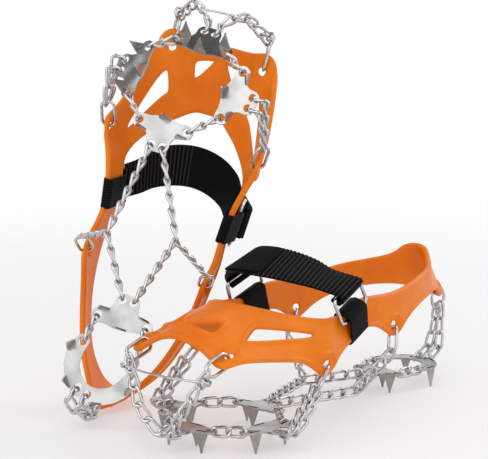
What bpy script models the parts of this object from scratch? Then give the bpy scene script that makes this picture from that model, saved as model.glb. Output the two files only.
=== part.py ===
"""Pair of chain ice cleats: elastic harness, instep strap, spike plates and chains, in millimetres."""

import math

import bpy
from mathutils import Euler, Matrix, Vector
from mathutils.geometry import tessellate_polygon

MM = 0.001

# Main sizes of one cleat
CLEAT_LENGTH = 293.0
CLEAT_WIDTH = 116.0
INSTEP_HEIGHT = 119.8

# Size of sole that the places below are drawn on
DRAWN_LENGTH = 293.0
DRAWN_WIDTH = 116.0
DRAWN_HEIGHT = 119.8


def spot(x, y, z):
    """Place drawn on the sole, moved out to the cleat's own length, width and height."""
    wide = CLEAT_WIDTH / DRAWN_WIDTH
    long = CLEAT_LENGTH / DRAWN_LENGTH
    high = INSTEP_HEIGHT / DRAWN_HEIGHT
    return Vector((x * wide, y * long, z * high))


# Spike plates
PLATE_THICK = 1.5
TOOTH_HEIGHT = 13.0
PLATE_MID = TOOTH_HEIGHT + PLATE_THICK / 2
TOOTH_TIP = 0.7
HOLE_R = 3.2
ARM_HOLE = 17.2
PAIR_HOLE_U = 3.9
PAIR_HOLE_V = 14.0
MOON_ARM_HOLE = 21.0
MOON_PAIR_U = 4.0
MOON_PAIR_V = 26.0
HOLE_SIDES = 6

# Chain
WIRE = 2.2
LINK_HALF = 3.7
LINK_BOW = 2.4
LINK_PITCH = 10.6
LINK_HOOK = 0.85
LINK_SIDES = 4
WIRE_FILL = 0.84
LINK_ROLL = 35.0
SEAT_IN_HOLE = 0.5
# A sloping link drops in its hole by its slope times this, so it clears the plate's rim
RIM_REACH = 2.6
END_BLUNT = 2.5
FIRST_CHORD = 8.8

# Tab links and heel ring
TAB_WIRE = 2.4
TAB_LINK_HALF = 5.6
TAB_LINK_TURN = 25.0
RING_R = 8.0
RING_PLAY = 1.3
RING_SEGMENTS = 10

# Harness
HARNESS_THICK = 2.8

# Instep strap, rings and keepers
STRAP_THICK = 1.8
FLAP_THICK = 1.5
FLAP_GAP = 0.5
FLAP_OPEN = {"left": 65.0, "right": 120.0}
STRAP_RING_WIRE = 2.6
STRAP_RING_LONG = 32.0
STRAP_RING_CUT = 2.2
HOOK_INNER = 2.95
HOOK_HALF = 12.8
STRAP_RING_SHORT = 18.4
KEEPER_WIDTH = 22.0
KEEPER_THICK = 1.4
KEEPER_SEAT = 12.5
HARNESS_UP = 10.0
HARNESS_DOWN = 10.6
RING_CENTRE = spot(47.0, -4.2, 86.2)
BAR_DIR = Vector((-0.09, 0.92, 0.38)).normalized()
FLANK_OUT = Vector((0.985, 0.04, 0.15)).normalized()
DOWN_DIR = BAR_DIR.cross(FLANK_OUT).normalized()
KEEPER_CENTRE = RING_CENTRE + DOWN_DIR * (STRAP_RING_SHORT / 2 + 6.0) - FLANK_OUT * 4.2

# Toe wire
TOE_WIRE_R = 0.9
TOE_EYE_R = 3.1

# Where the plates lie under each sole: centre x, centre y, then turn and tilt in degrees
LAYOUT_LEFT = {
    "toe": (0.0, -110.0, -90.0, 0.0),
    "ball_plus": (36.0, -79.0, 0.0, 0.0),
    "ball_minus": (-36.0, -79.0, 180.0, 0.0),
    "arch": (0.0, -44.0, 90.0, 0.0),
    "heel_front": (0.0, 91.0, -90.0, 0.0),
    "heel_rear": (0.0, 115.0, 0.0, 0.0),
    "junction_plus": (24.0, 33.0, 0.0, 0.0),
    "junction_minus": (-24.0, 33.0, 0.0, 0.0),
}
LAYOUT_RIGHT = {
    "toe": (0.0, -104.5, -89.0, 30.0),
    "ball_plus": (30.5, -77.5, 8.0, 0.0),
    "ball_minus": (-38.0, -77.0, 186.0, 25.0),
    "arch": (-8.5, -44.0, 90.0, 0.0),
    "heel_front": (7.5, 91.5, -91.0, 0.0),
    "heel_rear": (6.0, 119.0, 20.0, 0.0),
    "junction_plus": (25.5, 29.0, 0.0, 0.0),
    "junction_minus": (-22.0, 37.0, 0.0, 0.0),
}

# The right cleat stands on its heel, toe up
RIGHT_TURN = Euler((math.radians(-109.4), math.radians(14.5), math.radians(27.8)), "XYZ")
RIGHT_PLACE = spot(-64.9, -79.5, 0.0)

# Lower ends of the tab links
TOE_LINK_END = spot(35.0, -131.0, 59.5)
BALL_LINK_END = spot(58.5, -53.0, 37.5)
REAR_LINK_END = spot(48.0, 43.0, 44.0)
TOE_CHAIN_BEND = spot(17.0, -139.0, 27.0)
HEEL_CHAIN_BEND = spot(4.5, 163.0, 20.0)
JUNCTION_SET = Vector((0.13, 0.21, 0.57))
LEAD_RISE = 0.4
UP = Vector((0.0, 0.0, 1.0))
LEFT_FLARE = 0.0
RIGHT_FLARE = -17.0


def three_tooth_outline():
    """Half outline of a three-tooth plate, u >= 0, and the indices where teeth are rooted."""
    half = [(5.0, -6.0), (11.0, -4.6), (17.2, -5.0), (21.2, -3.0), (22.2, 0.6), (20.4, 4.2), (18.9, 5.0),
            (10.2, 6.6), (8.7, 10.0), (8.7, 14.6), (6.6, 18.0), (2.0, 18.7)]
    outline = half + [(-u, v) for u, v in reversed(half)]
    n = len(outline)
    teeth = [(n - 1, 0), (6, 7), (n - 8, n - 7)]
    holes = [(ARM_HOLE, 0.0), (-ARM_HOLE, 0.0), (PAIR_HOLE_U, PAIR_HOLE_V), (-PAIR_HOLE_U, PAIR_HOLE_V)]
    return outline, teeth, holes


def crescent_outline():
    """Outline of the heel rear plate; v runs toward the heel."""
    half = [(3.0, 31.6), (8.6, 30.4), (16.4, 25.6), (22.4, 19.0), (26.0, 11.2), (26.4, 2.2), (25.0, -3.4),
            (20.8, -5.0), (16.6, -3.0), (15.8, 6.0), (13.2, 13.4), (7.6, 18.4), (2.0, 20.4)]
    outline = [(-u, v) for u, v in half] + list(reversed(half))
    n = len(outline)
    teeth = [(1, 2), (4, 5), (n - 6, n - 5), (n - 3, n - 2)]
    holes = [(MOON_ARM_HOLE, 0.0), (-MOON_ARM_HOLE, 0.0),
             (MOON_PAIR_U, MOON_PAIR_V), (-MOON_PAIR_U, MOON_PAIR_V)]
    return outline, teeth, holes


def signed_area(loop):
    total = 0.0
    for i, (x, y) in enumerate(loop):
        x2, y2 = loop[(i + 1) % len(loop)]
        total += x * y2 - x2 * y
    return total / 2


def plate_solid(outline, teeth, holes):
    """Flat plate with holes; each tooth is the strip along its root, bent down to a tip."""
    top = TOOTH_HEIGHT + PLATE_THICK
    low = TOOTH_HEIGHT
    if signed_area(outline) < 0:
        n = len(outline)
        outline = list(reversed(outline))
        teeth = [(n - 1 - b, n - 1 - a) for a, b in teeth]
    verts = [(x, y, top) for x, y in outline] + [(x, y, low) for x, y in outline]
    n = len(outline)
    faces = []
    for i in range(n):
        j = (i + 1) % n
        faces.append((i, n + i, n + j, j))
    ring_top = []
    ring_low = []
    for hx, hy in holes:
        start = len(verts)
        for k in range(HOLE_SIDES):
            a = 2 * math.pi * (k + 0.5) / HOLE_SIDES
            r = HOLE_R / math.cos(math.pi / HOLE_SIDES)
            verts.append((hx + r * math.cos(a), hy + r * math.sin(a), top))
        for k in range(HOLE_SIDES):
            verts.append((verts[start + k][0], verts[start + k][1], low))
        ring_top.append(list(range(start, start + HOLE_SIDES)))
        ring_low.append(list(range(start + HOLE_SIDES, start + 2 * HOLE_SIDES)))
        for k in range(HOLE_SIDES):
            m = (k + 1) % HOLE_SIDES
            faces.append((start + k, start + m, start + HOLE_SIDES + m, start + HOLE_SIDES + k))
    inner = {}
    for a, b in teeth:
        pa = Vector(outline[a])
        pb = Vector(outline[b])
        along = (pb - pa).normalized()
        inward = Vector((-along.y, along.x))
        qa = pa + inward * PLATE_THICK + along * 0.4
        qb = pb + inward * PLATE_THICK - along * 0.4
        mid = (pa + pb) / 2
        ia = len(verts)
        verts.append((qa.x, qa.y, low))
        verts.append((qb.x, qb.y, low))
        tips = []
        for side, depth in ((-1, 0.0), (1, 0.0), (1, 1.0), (-1, 1.0)):
            p = mid + along * side * TOOTH_TIP + inward * depth
            tips.append(len(verts))
            verts.append((p.x, p.y, 0.0))
        ra, rb = n + a, n + b
        faces += [(ra, tips[0], tips[1], rb), (rb, tips[1], tips[2], ia + 1), (ia + 1, tips[2], tips[3], ia),
                  (ia, tips[3], tips[0], ra), (tips[0], tips[3], tips[2], tips[1])]
        inner[a] = (ia, ia + 1)
    low_loop = []
    for i in range(n):
        low_loop.append(n + i)
        if i in inner:
            low_loop += list(inner[i])
    for loop, rings, flip in ((list(range(n)), ring_top, False), (low_loop, ring_low, True)):
        index = list(loop)
        polys = [[Vector((verts[i][0], verts[i][1], 0.0)) for i in loop]]
        for ring in rings:
            polys.append([Vector((verts[i][0], verts[i][1], 0.0)) for i in reversed(ring)])
            index += list(reversed(ring))
        for tri in tessellate_polygon(polys):
            t = [index[k] for k in tri]
            p0, p1, p2 = (Vector(verts[i]) for i in t)
            up = (p1 - p0).cross(p2 - p0).z > 0
            if up == flip:
                t.reverse()
            faces.append(tuple(t))
    return verts, faces


def place_plate(verts, where):
    """Plate u, v, z to the sole: v points along the turn angle and rises by the tilt."""
    cx, cy, turn, tilt = where
    a = math.radians(turn)
    t = math.radians(tilt)
    u_dir = Vector((math.sin(a), -math.cos(a), 0.0))
    v_dir = Vector((math.cos(a) * math.cos(t), math.sin(a) * math.cos(t), math.sin(t)))
    up = u_dir.cross(v_dir)
    centre = Vector((cx, cy, PLATE_MID))
    return [centre + u_dir * u + v_dir * v + up * (z - PLATE_MID) for u, v, z in verts]


def plate_up(where):
    """Direction square to a plate, away from its teeth."""
    foot, top = place_plate([(0.0, 0.0, 0.0), (0.0, 0.0, 1.0)], where)
    return top - foot


def plate_point(where, u, v):
    return place_plate([(u, v, PLATE_MID)], where)[0]


def crescent_where(where):
    """The crescent's v runs toward the heel, so a zero turn points along +Y."""
    return (where[0], where[1], where[2] + 90.0, where[3])


def tube(path, normals, radius, closed, sides=4):
    """Wire of few sides along a path that bends in the plane square to each normal."""
    n = len(path)
    verts = []
    faces = []
    for i, p in enumerate(path):
        before = path[i - 1] if (i > 0 or closed) else p
        after = path[(i + 1) % n] if (i < n - 1 or closed) else p
        a = (p - before).normalized() if (p - before).length > 1e-9 else (after - p).normalized()
        b = (after - p).normalized() if (after - p).length > 1e-9 else a
        t = (a + b).normalized()
        m = normals[i]
        m = (m - t * m.dot(t)).normalized()
        side = t.cross(m)
        stretch = 1.0 / max(0.6, t.dot(a))
        for k in range(sides):
            ang = 2 * math.pi * (k + 0.5) / sides
            verts.append(p + side * math.cos(ang) * radius * stretch + m * math.sin(ang) * radius)
    last = n if closed else n - 1
    for i in range(last):
        j = (i + 1) % n
        for k in range(sides):
            l = (k + 1) % sides
            faces.append((i * sides + k, i * sides + l, j * sides + l, j * sides + k))
    if not closed:
        faces.append(tuple(reversed(range(sides))))
        faces.append(tuple((n - 1) * sides + k for k in range(sides)))
    return verts, faces


def link(a, b, side, half=LINK_HALF, bow=LINK_BOW, wire=WIRE, blunt=0.0):
    """One chain link between the wire centres of its two bows; side lies in the link's plane."""
    e = (b - a).normalized()
    s = (side - e * side.dot(e)).normalized()
    if blunt > 0:
        path = [a + s * blunt, a + e * bow + s * half, b - e * bow + s * half, b + s * blunt,
                b - s * blunt, b - e * bow - s * half, a + e * bow - s * half, a - s * blunt]
    else:
        path = [a, a + e * bow + s * half, b - e * bow + s * half,
                b, b - e * bow - s * half, a + e * bow - s * half]
    m = e.cross(s)
    radius = wire / 2 * math.sqrt(2) * WIRE_FILL
    return tube(path, [m] * len(path), radius, True, LINK_SIDES)


def walk(path, n):
    """n equal chords along a polyline, from its first point to its last."""
    def spots(chord):
        pts = [path[0]]
        seg = 0
        while len(pts) < n + 1:
            p = pts[-1]
            found = None
            for k in range(seg, len(path) - 1):
                a, b = path[k], path[k + 1]
                d = b - a
                f = a - p
                qa, qb, qc = d.dot(d), 2 * f.dot(d), f.dot(f) - chord * chord
                disc = qb * qb - 4 * qa * qc
                if disc >= 0:
                    t = (-qb + math.sqrt(disc)) / (2 * qa)
                    if t <= 1.0 and t >= 0.0:
                        found = (k, a + d * t)
                        break
            if found is None:
                a, b = path[-2], path[-1]
                e = (b - a).normalized()
                left = chord - (b - p).length
                found = (len(path) - 2, b + e * max(left, 1e-6))
            seg = found[0]
            pts.append(found[1])
        return pts

    total = sum((path[i + 1] - path[i]).length for i in range(len(path) - 1))
    low, high = total / n * 0.6, total / n * 1.02
    e = (path[-1] - path[-2]).normalized()
    for _ in range(50):
        mid = (low + high) / 2
        over = (spots(mid)[-1] - path[-1]).dot(e)
        if over > 0:
            high = mid
        else:
            low = mid
    pts = spots((low + high) / 2)
    pts[-1] = path[-1].copy()
    return pts


def strand(path, led=False, ups=None):
    """Links along a path, rolled to either side in turn; a led strand's first link ends at the lead.

    ups are the directions square to the plates at the two ends.
    """
    e0 = (path[1] - path[0]).normalized()
    e1 = (path[-1] - path[-2]).normalized()
    inner = [path[0] + e0 * LINK_HOOK] + list(path[1:-1]) + [path[-1] - e1 * LINK_HOOK]
    total = sum((inner[i + 1] - inner[i]).length for i in range(len(inner) - 1))
    if led:
        total -= (inner[1] - inner[0]).length
        pts = [inner[0]] + walk(inner[1:], max(1, round(total / LINK_PITCH)))
    else:
        pts = walk(inner, max(1, round(total / LINK_PITCH)))
    n = len(pts) - 1
    first, last = ups or (UP, UP)
    ref = first
    out = []
    for i in range(n):
        e = (pts[i + 1] - pts[i]).normalized()
        if first != last:
            ref = first.lerp(last, i / max(1, n - 1))
        flat = ref - e * ref.dot(e)
        if flat.length < 0.05:
            flat = Vector((0.0, 1.0, 0.0)) - e * e.y
        ref = flat.normalized()
        turn = math.radians(LINK_ROLL if i % 2 == 0 else -LINK_ROLL)
        s = ref * math.cos(turn) + e.cross(ref) * math.sin(turn)
        out.append((pts[i] - e * LINK_HOOK, pts[i + 1] + e * LINK_HOOK, s))
    return out


def merged(parts):
    verts = []
    faces = []
    for v, f in parts:
        base = len(verts)
        verts += list(v)
        faces += [tuple(i + base for i in face) for face in f]
    return verts, faces


def rows_of(station):
    return [0.0, *station[3], 1.0]


def harness_stations(flare):
    """Half harness, toe centre to heel: lower edge, upper edge, bulge, row places, what is open beyond."""
    front = [
        ((0, -124, 75), (0, -75, 91), 5.0, (0.08, 0.15, 0.24, 0.27), ""),
        ((5, -124, 74.7), (3, -75, 91), 4.6, (0.08, 0.15, 0.24, 0.27), "w"),
        ((13, -123.5, 73.3), (7.5, -75, 90.7), 2.6, (0.08, 0.16, 0.26, 0.47), "w"),
        ((21, -122.5, 70.5), (12, -73, 90), 0.8, (0.08, 0.17, 0.3, 0.56), ""),
        ((29, -122.5, 66), (17, -69, 88.6), 0.2, (0.1, 0.22, 0.36, 0.57), ""),
        ((34.5, -123.5, 61.5), (20, -66, 87.5), 0.2, (0.14, 0.25, 0.4, 0.6), "h"),
        ((41, -121.5, 61.5), (24, -62.5, 86.5), 0.4, (0.14, 0.25, 0.43, 0.69), "w"),
        ((45.5, -114, 64.5), (28, -58.5, 84.8), 0.4, (0.08, 0.18, 0.39, 0.68), "w"),
        ((49.5, -96, 62.5), (34, -51.5, 82.5), 0.5, (0.08, 0.2, 0.43, 0.685), "w"),
        ((53, -76, 59.5), (39.5, -44, 80.7), 0.8, (0.1, 0.24, 0.49, 0.67), "w"),
        ((55.5, -58, 56), (43.5, -37, 79.3), 1.2, (0.14, 0.3, 0.545, 0.65), ""),
        ((57.5, -46.5, 44), (45.5, -31, 78.4), 2.5, (0.11, 0.3, 0.5, 0.6), "h"),
        ((58, -38.5, 43), (46.5, -25, 78), 2.5, (0.11, 0.3, 0.5, 0.6), ""),
        ((53.5, -27, 52), (45.4, -18, 78), 0.6, (0.2, 0.35, 0.5, 0.65), ""),
    ]
    rear = [
        ((46.5, 32, 63), (44.8, 27, 84.8), 0.5, (0.2, 0.4, 0.6, 0.8), ""),
        ((45.5, 45, 53.5), (43.8, 43, 84), 0.8, (0.14, 0.38, 0.56, 0.78), "h"),
        ((45, 53, 53.5), (43.2, 52, 84), 0.8, (0.14, 0.38, 0.56, 0.78), ""),
        ((43, 63, 61), (42, 63, 85), 0.8, (0.18, 0.38, 0.56, 0.78), ""),
        ((40.5, 76, 66.5), (40, 77, 87), 0.8, (0.2, 0.4, 0.6, 0.8), ""),
        ((36, 94, 70.5), (36, 92.5, 89.5), 0.8, (0.2, 0.4, 0.6, 0.8), ""),
        ((28, 118, 72), (28.5, 114, 91), 0.6, (0.2, 0.4, 0.6, 0.8), ""),
        ((16.5, 140 + flare * 0.25, 71 + flare * 0.05), (15.5, 130, 94), 0.4, (0.16, 0.34, 0.6, 0.8), ""),
        ((9, 155 + flare * 0.6, 65 + flare * 0.2), (11, 133.5, 101), 0.2, (0.12, 0.27, 0.55, 0.8), ""),
        ((3.5, 169 + flare, 59 + flare * 0.3), (3.5, 136.5, 103), 0.0, (0.09, 0.235, 0.5, 0.8), "h"),
    ]
    top, bottom = DOWN_DIR * -HARNESS_UP, DOWN_DIR * HARNESS_DOWN
    under_keeper = []
    for along in (-KEEPER_SEAT, KEEPER_SEAT):
        middle = KEEPER_CENTRE + BAR_DIR * along
        under_keeper.append((middle + bottom, middle + top, 0.0, (0.2, 0.4, 0.6, 0.8), ""))
    placed = [[(spot(*lo), spot(*hi), *rest) for lo, hi, *rest in drawn] for drawn in (front, rear)]
    return placed[0] + under_keeper + placed[1]


def harness_grid(stations):
    """Outer surface of both halves as one grid of columns; the mirrored half runs backwards."""
    half = []
    for i, station in enumerate(stations):
        lo, hi, bulge = station[:3]
        ahead = stations[min(i + 1, len(stations) - 1)]
        behind = stations[max(i - 1, 0)]
        along = (ahead[0] + ahead[1] - behind[0] - behind[1]).normalized()
        if i == 0:
            along = Vector((1.0, 0.0, 0.0))
        out = (hi - lo).cross(along).normalized()
        if out.dot(Vector((lo.x, lo.y + 30.0, 60.0))) < 0 and out.z < 0:
            out = -out
        half.append([lo.lerp(hi, v) + out * bulge * 4 * v * (1 - v) for v in rows_of(station)])
    mirrored = [[Vector((-p.x, p.y, p.z)) for p in column] for column in half]
    columns = list(reversed(mirrored))[:-1] + half
    marks = [s[4] for s in stations]
    opens = [marks[i] for i in range(len(marks) - 2, -1, -1)] + marks
    return columns, opens


def harness_surface(flare):
    stations = harness_stations(flare)
    columns, opens = harness_grid(stations)
    rows = len(columns[0])
    verts = [p for column in columns for p in column]
    faces = []
    n = len(columns)
    for c in range(n):
        d = (c + 1) % n
        for r in range(rows - 1):
            if opens[c] == "w" and r == 3:
                continue
            if opens[c] == "h" and r == 1:
                continue
            faces.append((c * rows + r, d * rows + r, d * rows + r + 1, c * rows + r + 1))
    return verts, faces, columns


def thicken(verts, faces, thick):
    """Closed solid from an open sheet: the sheet is the outer side."""
    normals = [Vector((0.0, 0.0, 0.0)) for _ in verts]
    for f in faces:
        a, b, c, d = (verts[i] for i in f)
        nrm = (c - a).cross(d - b)
        for i in f:
            normals[i] += nrm
    count = len(verts)
    inner = [v - normals[i].normalized() * thick for i, v in enumerate(verts)]
    edges = {}
    for f in faces:
        for i in range(4):
            edges[(f[i], f[(i + 1) % 4])] = True
    out = [tuple(f) for f in faces] + [tuple(i + count for i in reversed(f)) for f in faces]
    for a, b in edges:
        if (b, a) not in edges:
            out.append((b, a, a + count, b + count))
    return list(verts) + inner, out


def tab_frame(columns, c, r=1):
    """Centre, outward direction and downward direction of the eyelet between two columns."""
    n = len(columns)
    a, b = columns[c], columns[(c + 1) % n]
    corners = [a[r], b[r], b[r + 1], a[r + 1]]
    centre = (corners[0] + corners[1] + corners[2] + corners[3]) / 4
    out = (corners[2] - corners[0]).cross(corners[3] - corners[1]).normalized()
    down = ((corners[0] + corners[1]) / 2 - centre).normalized()
    return centre - out * HARNESS_THICK / 2, out, down


def tab_link(frame, end):
    centre, out, down = frame
    top = centre + down * 1.3
    e = (end - top).normalized()
    flat = (out - e * out.dot(e)).normalized()
    turn = math.radians(TAB_LINK_TURN)
    s = flat * math.cos(turn) + e.cross(flat) * math.sin(turn)
    return link(top, end, s, TAB_LINK_HALF, 3.0, TAB_WIRE, blunt=2.9)


def strip_solid(stations, thick):
    """Flat strap through stations of front edge, rear edge and outward direction."""
    verts = []
    faces = []
    for front, rear, out in stations:
        verts += [front, rear, rear - out * thick, front - out * thick]
    n = len(stations)
    for i in range(n - 1):
        a = i * 4
        b = a + 4
        faces += [(a, b, b + 1), (a, b + 1, a + 1), (a + 1, b + 1, b + 2, a + 2),
                  (a + 2, b + 2, a + 3), (b + 2, b + 3, a + 3), (a + 3, b + 3, b, a)]
    faces.append((0, 1, 2, 3))
    base = (n - 1) * 4
    faces.append((base + 3, base + 2, base + 1, base))
    return verts, faces


def outward(faces_verts):
    """Turns every face so that the solid's volume is positive."""
    verts, faces = faces_verts
    volume = 0.0
    for f in faces:
        a = verts[f[0]]
        for i in range(1, len(f) - 1):
            volume += Vector(a).dot(Vector(verts[f[i]]).cross(Vector(verts[f[i + 1]])))
    if volume < 0:
        faces = [tuple(reversed(f)) for f in faces]
    return verts, faces


def strap_line(lift):
    """Strap from the outer ring over the instep to the inner ring: edge points lifted off its face."""
    half = [(spot(40.0, -31.0, 98.0), spot(34.5, -6.5, 106.5)),
            (spot(31.5, -42.0, 102.0), spot(26.5, -15.0, 113.5)),
            (spot(17.5, -50.0, 105.0), spot(14.0, -21.5, 118.3))]
    centre = (spot(0.0, -53.0, 106.0), spot(0.0, -24.0, DRAWN_HEIGHT))
    stations = half + [centre] + [tuple(mirror(pair, -1)) for pair in reversed(half)]
    inside = Vector((0.0, -22.0, 70.0))
    out = []
    for i, (front, rear) in enumerate(stations):
        ahead = stations[min(i + 1, len(stations) - 1)]
        behind = stations[max(i - 1, 0)]
        along = (ahead[0] + ahead[1] - behind[0] - behind[1]).normalized()
        normal = along.cross(front - rear).normalized()
        if normal.dot((front + rear) / 2 - inside) < 0:
            normal = -normal
        out.append((front + normal * lift, rear + normal * lift, normal))
    return out


def hook_stations(sign):
    """The strap's end turned round the ring bar: from the outside, below the bar, to the inside."""
    bar = RING_CENTRE - DOWN_DIR * STRAP_RING_SHORT / 2
    half = BAR_DIR * HOOK_HALF
    stations = []
    for angle in (15.0, -35.0, -85.0, -135.0, -178.0):
        a = math.radians(angle)
        out = FLANK_OUT * math.cos(a) - DOWN_DIR * math.sin(a)
        centre = bar + out * (HOOK_INNER + STRAP_THICK)
        stations.append((centre - half, centre + half, out))
    return [tuple(mirror(station, sign)) for station in stations]


def mirror(points, sign):
    return [Vector((sign * p.x, p.y, p.z)) for p in points]


class Cleat:
    """Builds one cleat's nodes under its own empty."""

    def __init__(self, name, layout, hand, flare):
        self.name = name
        self.flare = flare
        self.layout = {key: (*spot(x, y, 0.0).xy, turn, tilt) for key, (x, y, turn, tilt) in layout.items()}
        self.hand = hand
        self.nodes = {}
        self.empty = bpy.data.objects.new(name + "_cleat", None)
        bpy.context.scene.collection.objects.link(self.empty)

    def side(self, sign):
        return "outer" if sign == self.hand else "inner"

    def add(self, name, solid, pivot=None, axis=None, limits=None):
        """A visible node; a moving one has its origin on its axis."""
        verts, faces = outward(solid)
        origin = Vector(pivot) if pivot is not None else Vector((0.0, 0.0, 0.0))
        mesh = bpy.data.meshes.new(self.name + "_" + name)
        mesh.from_pydata([(Vector(v) - origin) * MM for v in verts], [], faces)
        mesh.validate()
        obj = bpy.data.objects.new(self.name + "_" + name, mesh)
        obj.location = origin * MM
        obj.parent = self.empty
        bpy.context.scene.collection.objects.link(obj)
        if axis is not None:
            obj["joint_axis"] = [float(x) for x in Vector(axis).normalized()]
            obj["joint_range_deg"] = [float(x) for x in limits]
        self.nodes[name] = obj
        return obj

    def unite(self, name, sets, pivot=None, axis=None, limits=None):
        """One closed body from sets of wires; each set's own pieces are apart from each other."""
        obj = self.add(name, sets[0], pivot, axis, limits)
        helpers = []
        for i, solid in enumerate(sets[1:]):
            verts, faces = outward(solid)
            origin = Vector(pivot) if pivot is not None else Vector((0.0, 0.0, 0.0))
            mesh = bpy.data.meshes.new("helper")
            mesh.from_pydata([(Vector(v) - origin) * MM for v in verts], [], faces)
            helper = bpy.data.objects.new(self.name + "_" + name + "_helper" + str(i), mesh)
            helper.location = obj.location
            helper.hide_render = True
            helper.display_type = "WIRE"
            bpy.context.scene.collection.objects.link(helper)
            helper.parent = self.empty
            mod = obj.modifiers.new("join" + str(i), "BOOLEAN")
            mod.operation = "UNION"
            mod.solver = "EXACT"
            mod.object = helper
            helpers.append(helper)
        bpy.context.view_layer.update()
        graph = bpy.context.evaluated_depsgraph_get()
        joined = bpy.data.meshes.new_from_object(obj.evaluated_get(graph))
        obj.modifiers.clear()
        old = obj.data
        obj.data = joined
        bpy.data.meshes.remove(old)
        for helper in helpers:
            bpy.data.objects.remove(helper)
        return obj

    def chain_sets(self, links, blunt_last=False):
        """Two sets of links, odd and even; the link seated in a hole has a blunt bow."""
        sets = [[], []]
        for i, (a, b, s) in enumerate(links):
            seated = i == 0 or (blunt_last and i == len(links) - 1)
            sets[i % 2].append(link(a, b, s, blunt=END_BLUNT if seated else 0.0))
        return [merged(part) for part in sets if part]

    def where(self, plate):
        """Centre and turn of a plate; the heel rear plate is drawn a quarter turn round."""
        return crescent_where(self.layout[plate]) if plate == "heel_rear" else self.layout[plate]

    def hole(self, plate, u, v, pull):
        """Wire centre of a link's bow seated in a plate hole, toward the pull."""
        p = plate_point(self.where(plate), u, v)
        up = plate_up(self.where(plate))
        d = (pull - p).normalized()
        slope = d.dot(up)
        return p + (d - up * slope).normalized() * SEAT_IN_HOLE - up * (slope * RIM_REACH)

    def lead(self, plate, u):
        """Seat in a pair hole, and the point straight out from it where the chain turns up."""
        v = MOON_PAIR_V if plate == "heel_rear" else PAIR_HOLE_V
        far = plate_point(self.where(plate), u * 1.15, v + SEAT_IN_HOLE + LINK_HOOK + FIRST_CHORD)
        return self.hole(plate, u, v, far), far + plate_up(self.where(plate)) * LEAD_RISE

    def between(self, plate_a, ua, va, plate_b, ub, vb):
        """Seats of a chain between two plates' holes."""
        a, b = plate_point(self.where(plate_a), ua, va), plate_point(self.where(plate_b), ub, vb)
        return self.hole(plate_a, ua, va, b), self.hole(plate_b, ub, vb, a)

    def ups(self, plate_a, plate_b):
        return plate_up(self.where(plate_a)), plate_up(self.where(plate_b))

    def near_u(self, plate, sign):
        """Sign of u that lies on the wanted side of the plate."""
        where = self.where(plate)
        plus = plate_point(where, 10.0, 0.0).x
        minus = plate_point(where, -10.0, 0.0).x
        return 1.0 if (plus - minus) * sign > 0 else -1.0

    def front_u(self, plate):
        """Sign of u that lies toward the toe."""
        where = self.where(plate)
        return 1.0 if plate_point(where, 10.0, 0.0).y < plate_point(where, -10.0, 0.0).y else -1.0

    def build(self):
        self.harness()
        self.plates()
        self.chains()
        self.strap()

    def harness(self):
        verts, faces, columns = harness_surface(self.flare)
        solid = thicken(verts, faces, HARNESS_THICK)
        self.columns = columns
        self.add("harness", solid)
        half = (len(columns) + 1) // 2
        middle = half - 1
        self.tabs = {
            ("toe", 1): tab_frame(columns, middle + 5), ("toe", -1): tab_frame(columns, middle - 6),
            ("ball", 1): tab_frame(columns, middle + 11), ("ball", -1): tab_frame(columns, middle - 12),
            ("rear", 1): tab_frame(columns, middle + 17), ("rear", -1): tab_frame(columns, middle - 18),
            ("heel", 0): tab_frame(columns, len(columns) - 1),
        }

    def plates(self):
        star = plate_solid(*three_tooth_outline())
        moon = plate_solid(*crescent_outline())
        names = {"toe": "toe_plate", "arch": "arch_plate", "heel_front": "heel_front_plate",
                 "ball_plus": "ball_plate_" + self.side(1), "ball_minus": "ball_plate_" + self.side(-1)}
        for key, name in names.items():
            where = self.layout[key]
            verts = place_plate(star[0], where)
            pivot = plate_point(where, 0.0, 7.0)
            axis = plate_point(where, 1.0, 7.0) - pivot
            self.add(name, (verts, star[1]), pivot, axis, (-3.0, 3.0))
        where = crescent_where(self.layout["heel_rear"])
        verts = place_plate(moon[0], where)
        pivot = plate_point(where, 0.0, 13.0)
        axis = plate_point(where, 1.0, 13.0) - pivot
        self.add("heel_rear_plate", (verts, moon[1]), pivot, axis, (-2.0, 2.0))

    def sway_chain(self, name, a, b, ups, limit=5.0):
        links = strand([a, b], ups=ups)
        pivot = (a + b) / 2
        self.unite(name, self.chain_sets(links, True), pivot, b - a, (-limit, limit))

    def chains(self):
        for sign in (1, -1):
            side = self.side(sign)
            ball = "ball_plus" if sign > 0 else "ball_minus"
            fu = self.front_u(ball)
            a, b = self.between("toe", self.near_u("toe", sign) * ARM_HOLE, 0.0, ball, fu * ARM_HOLE, 0.0)
            self.sway_chain("front_chain_" + side, a, b, self.ups("toe", ball))
            a, b = self.between(ball, -fu * ARM_HOLE, 0.0, "arch", self.near_u("arch", sign) * ARM_HOLE, 0.0)
            self.sway_chain("ball_chain_" + side, a, b, self.ups(ball, "arch"))
            a, b = self.between("heel_front", self.near_u("heel_front", sign) * ARM_HOLE, 0.0,
                                "heel_rear", self.near_u("heel_rear", sign) * MOON_ARM_HOLE, 0.0)
            self.sway_chain("heel_chain_" + side, a, b, self.ups("heel_front", "heel_rear"))
            self.toe_chain(sign)
            self.side_chain(sign, ball, fu)
            self.mid_chain(sign)
        self.toe_wire()
        self.heel_tab()

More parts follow.
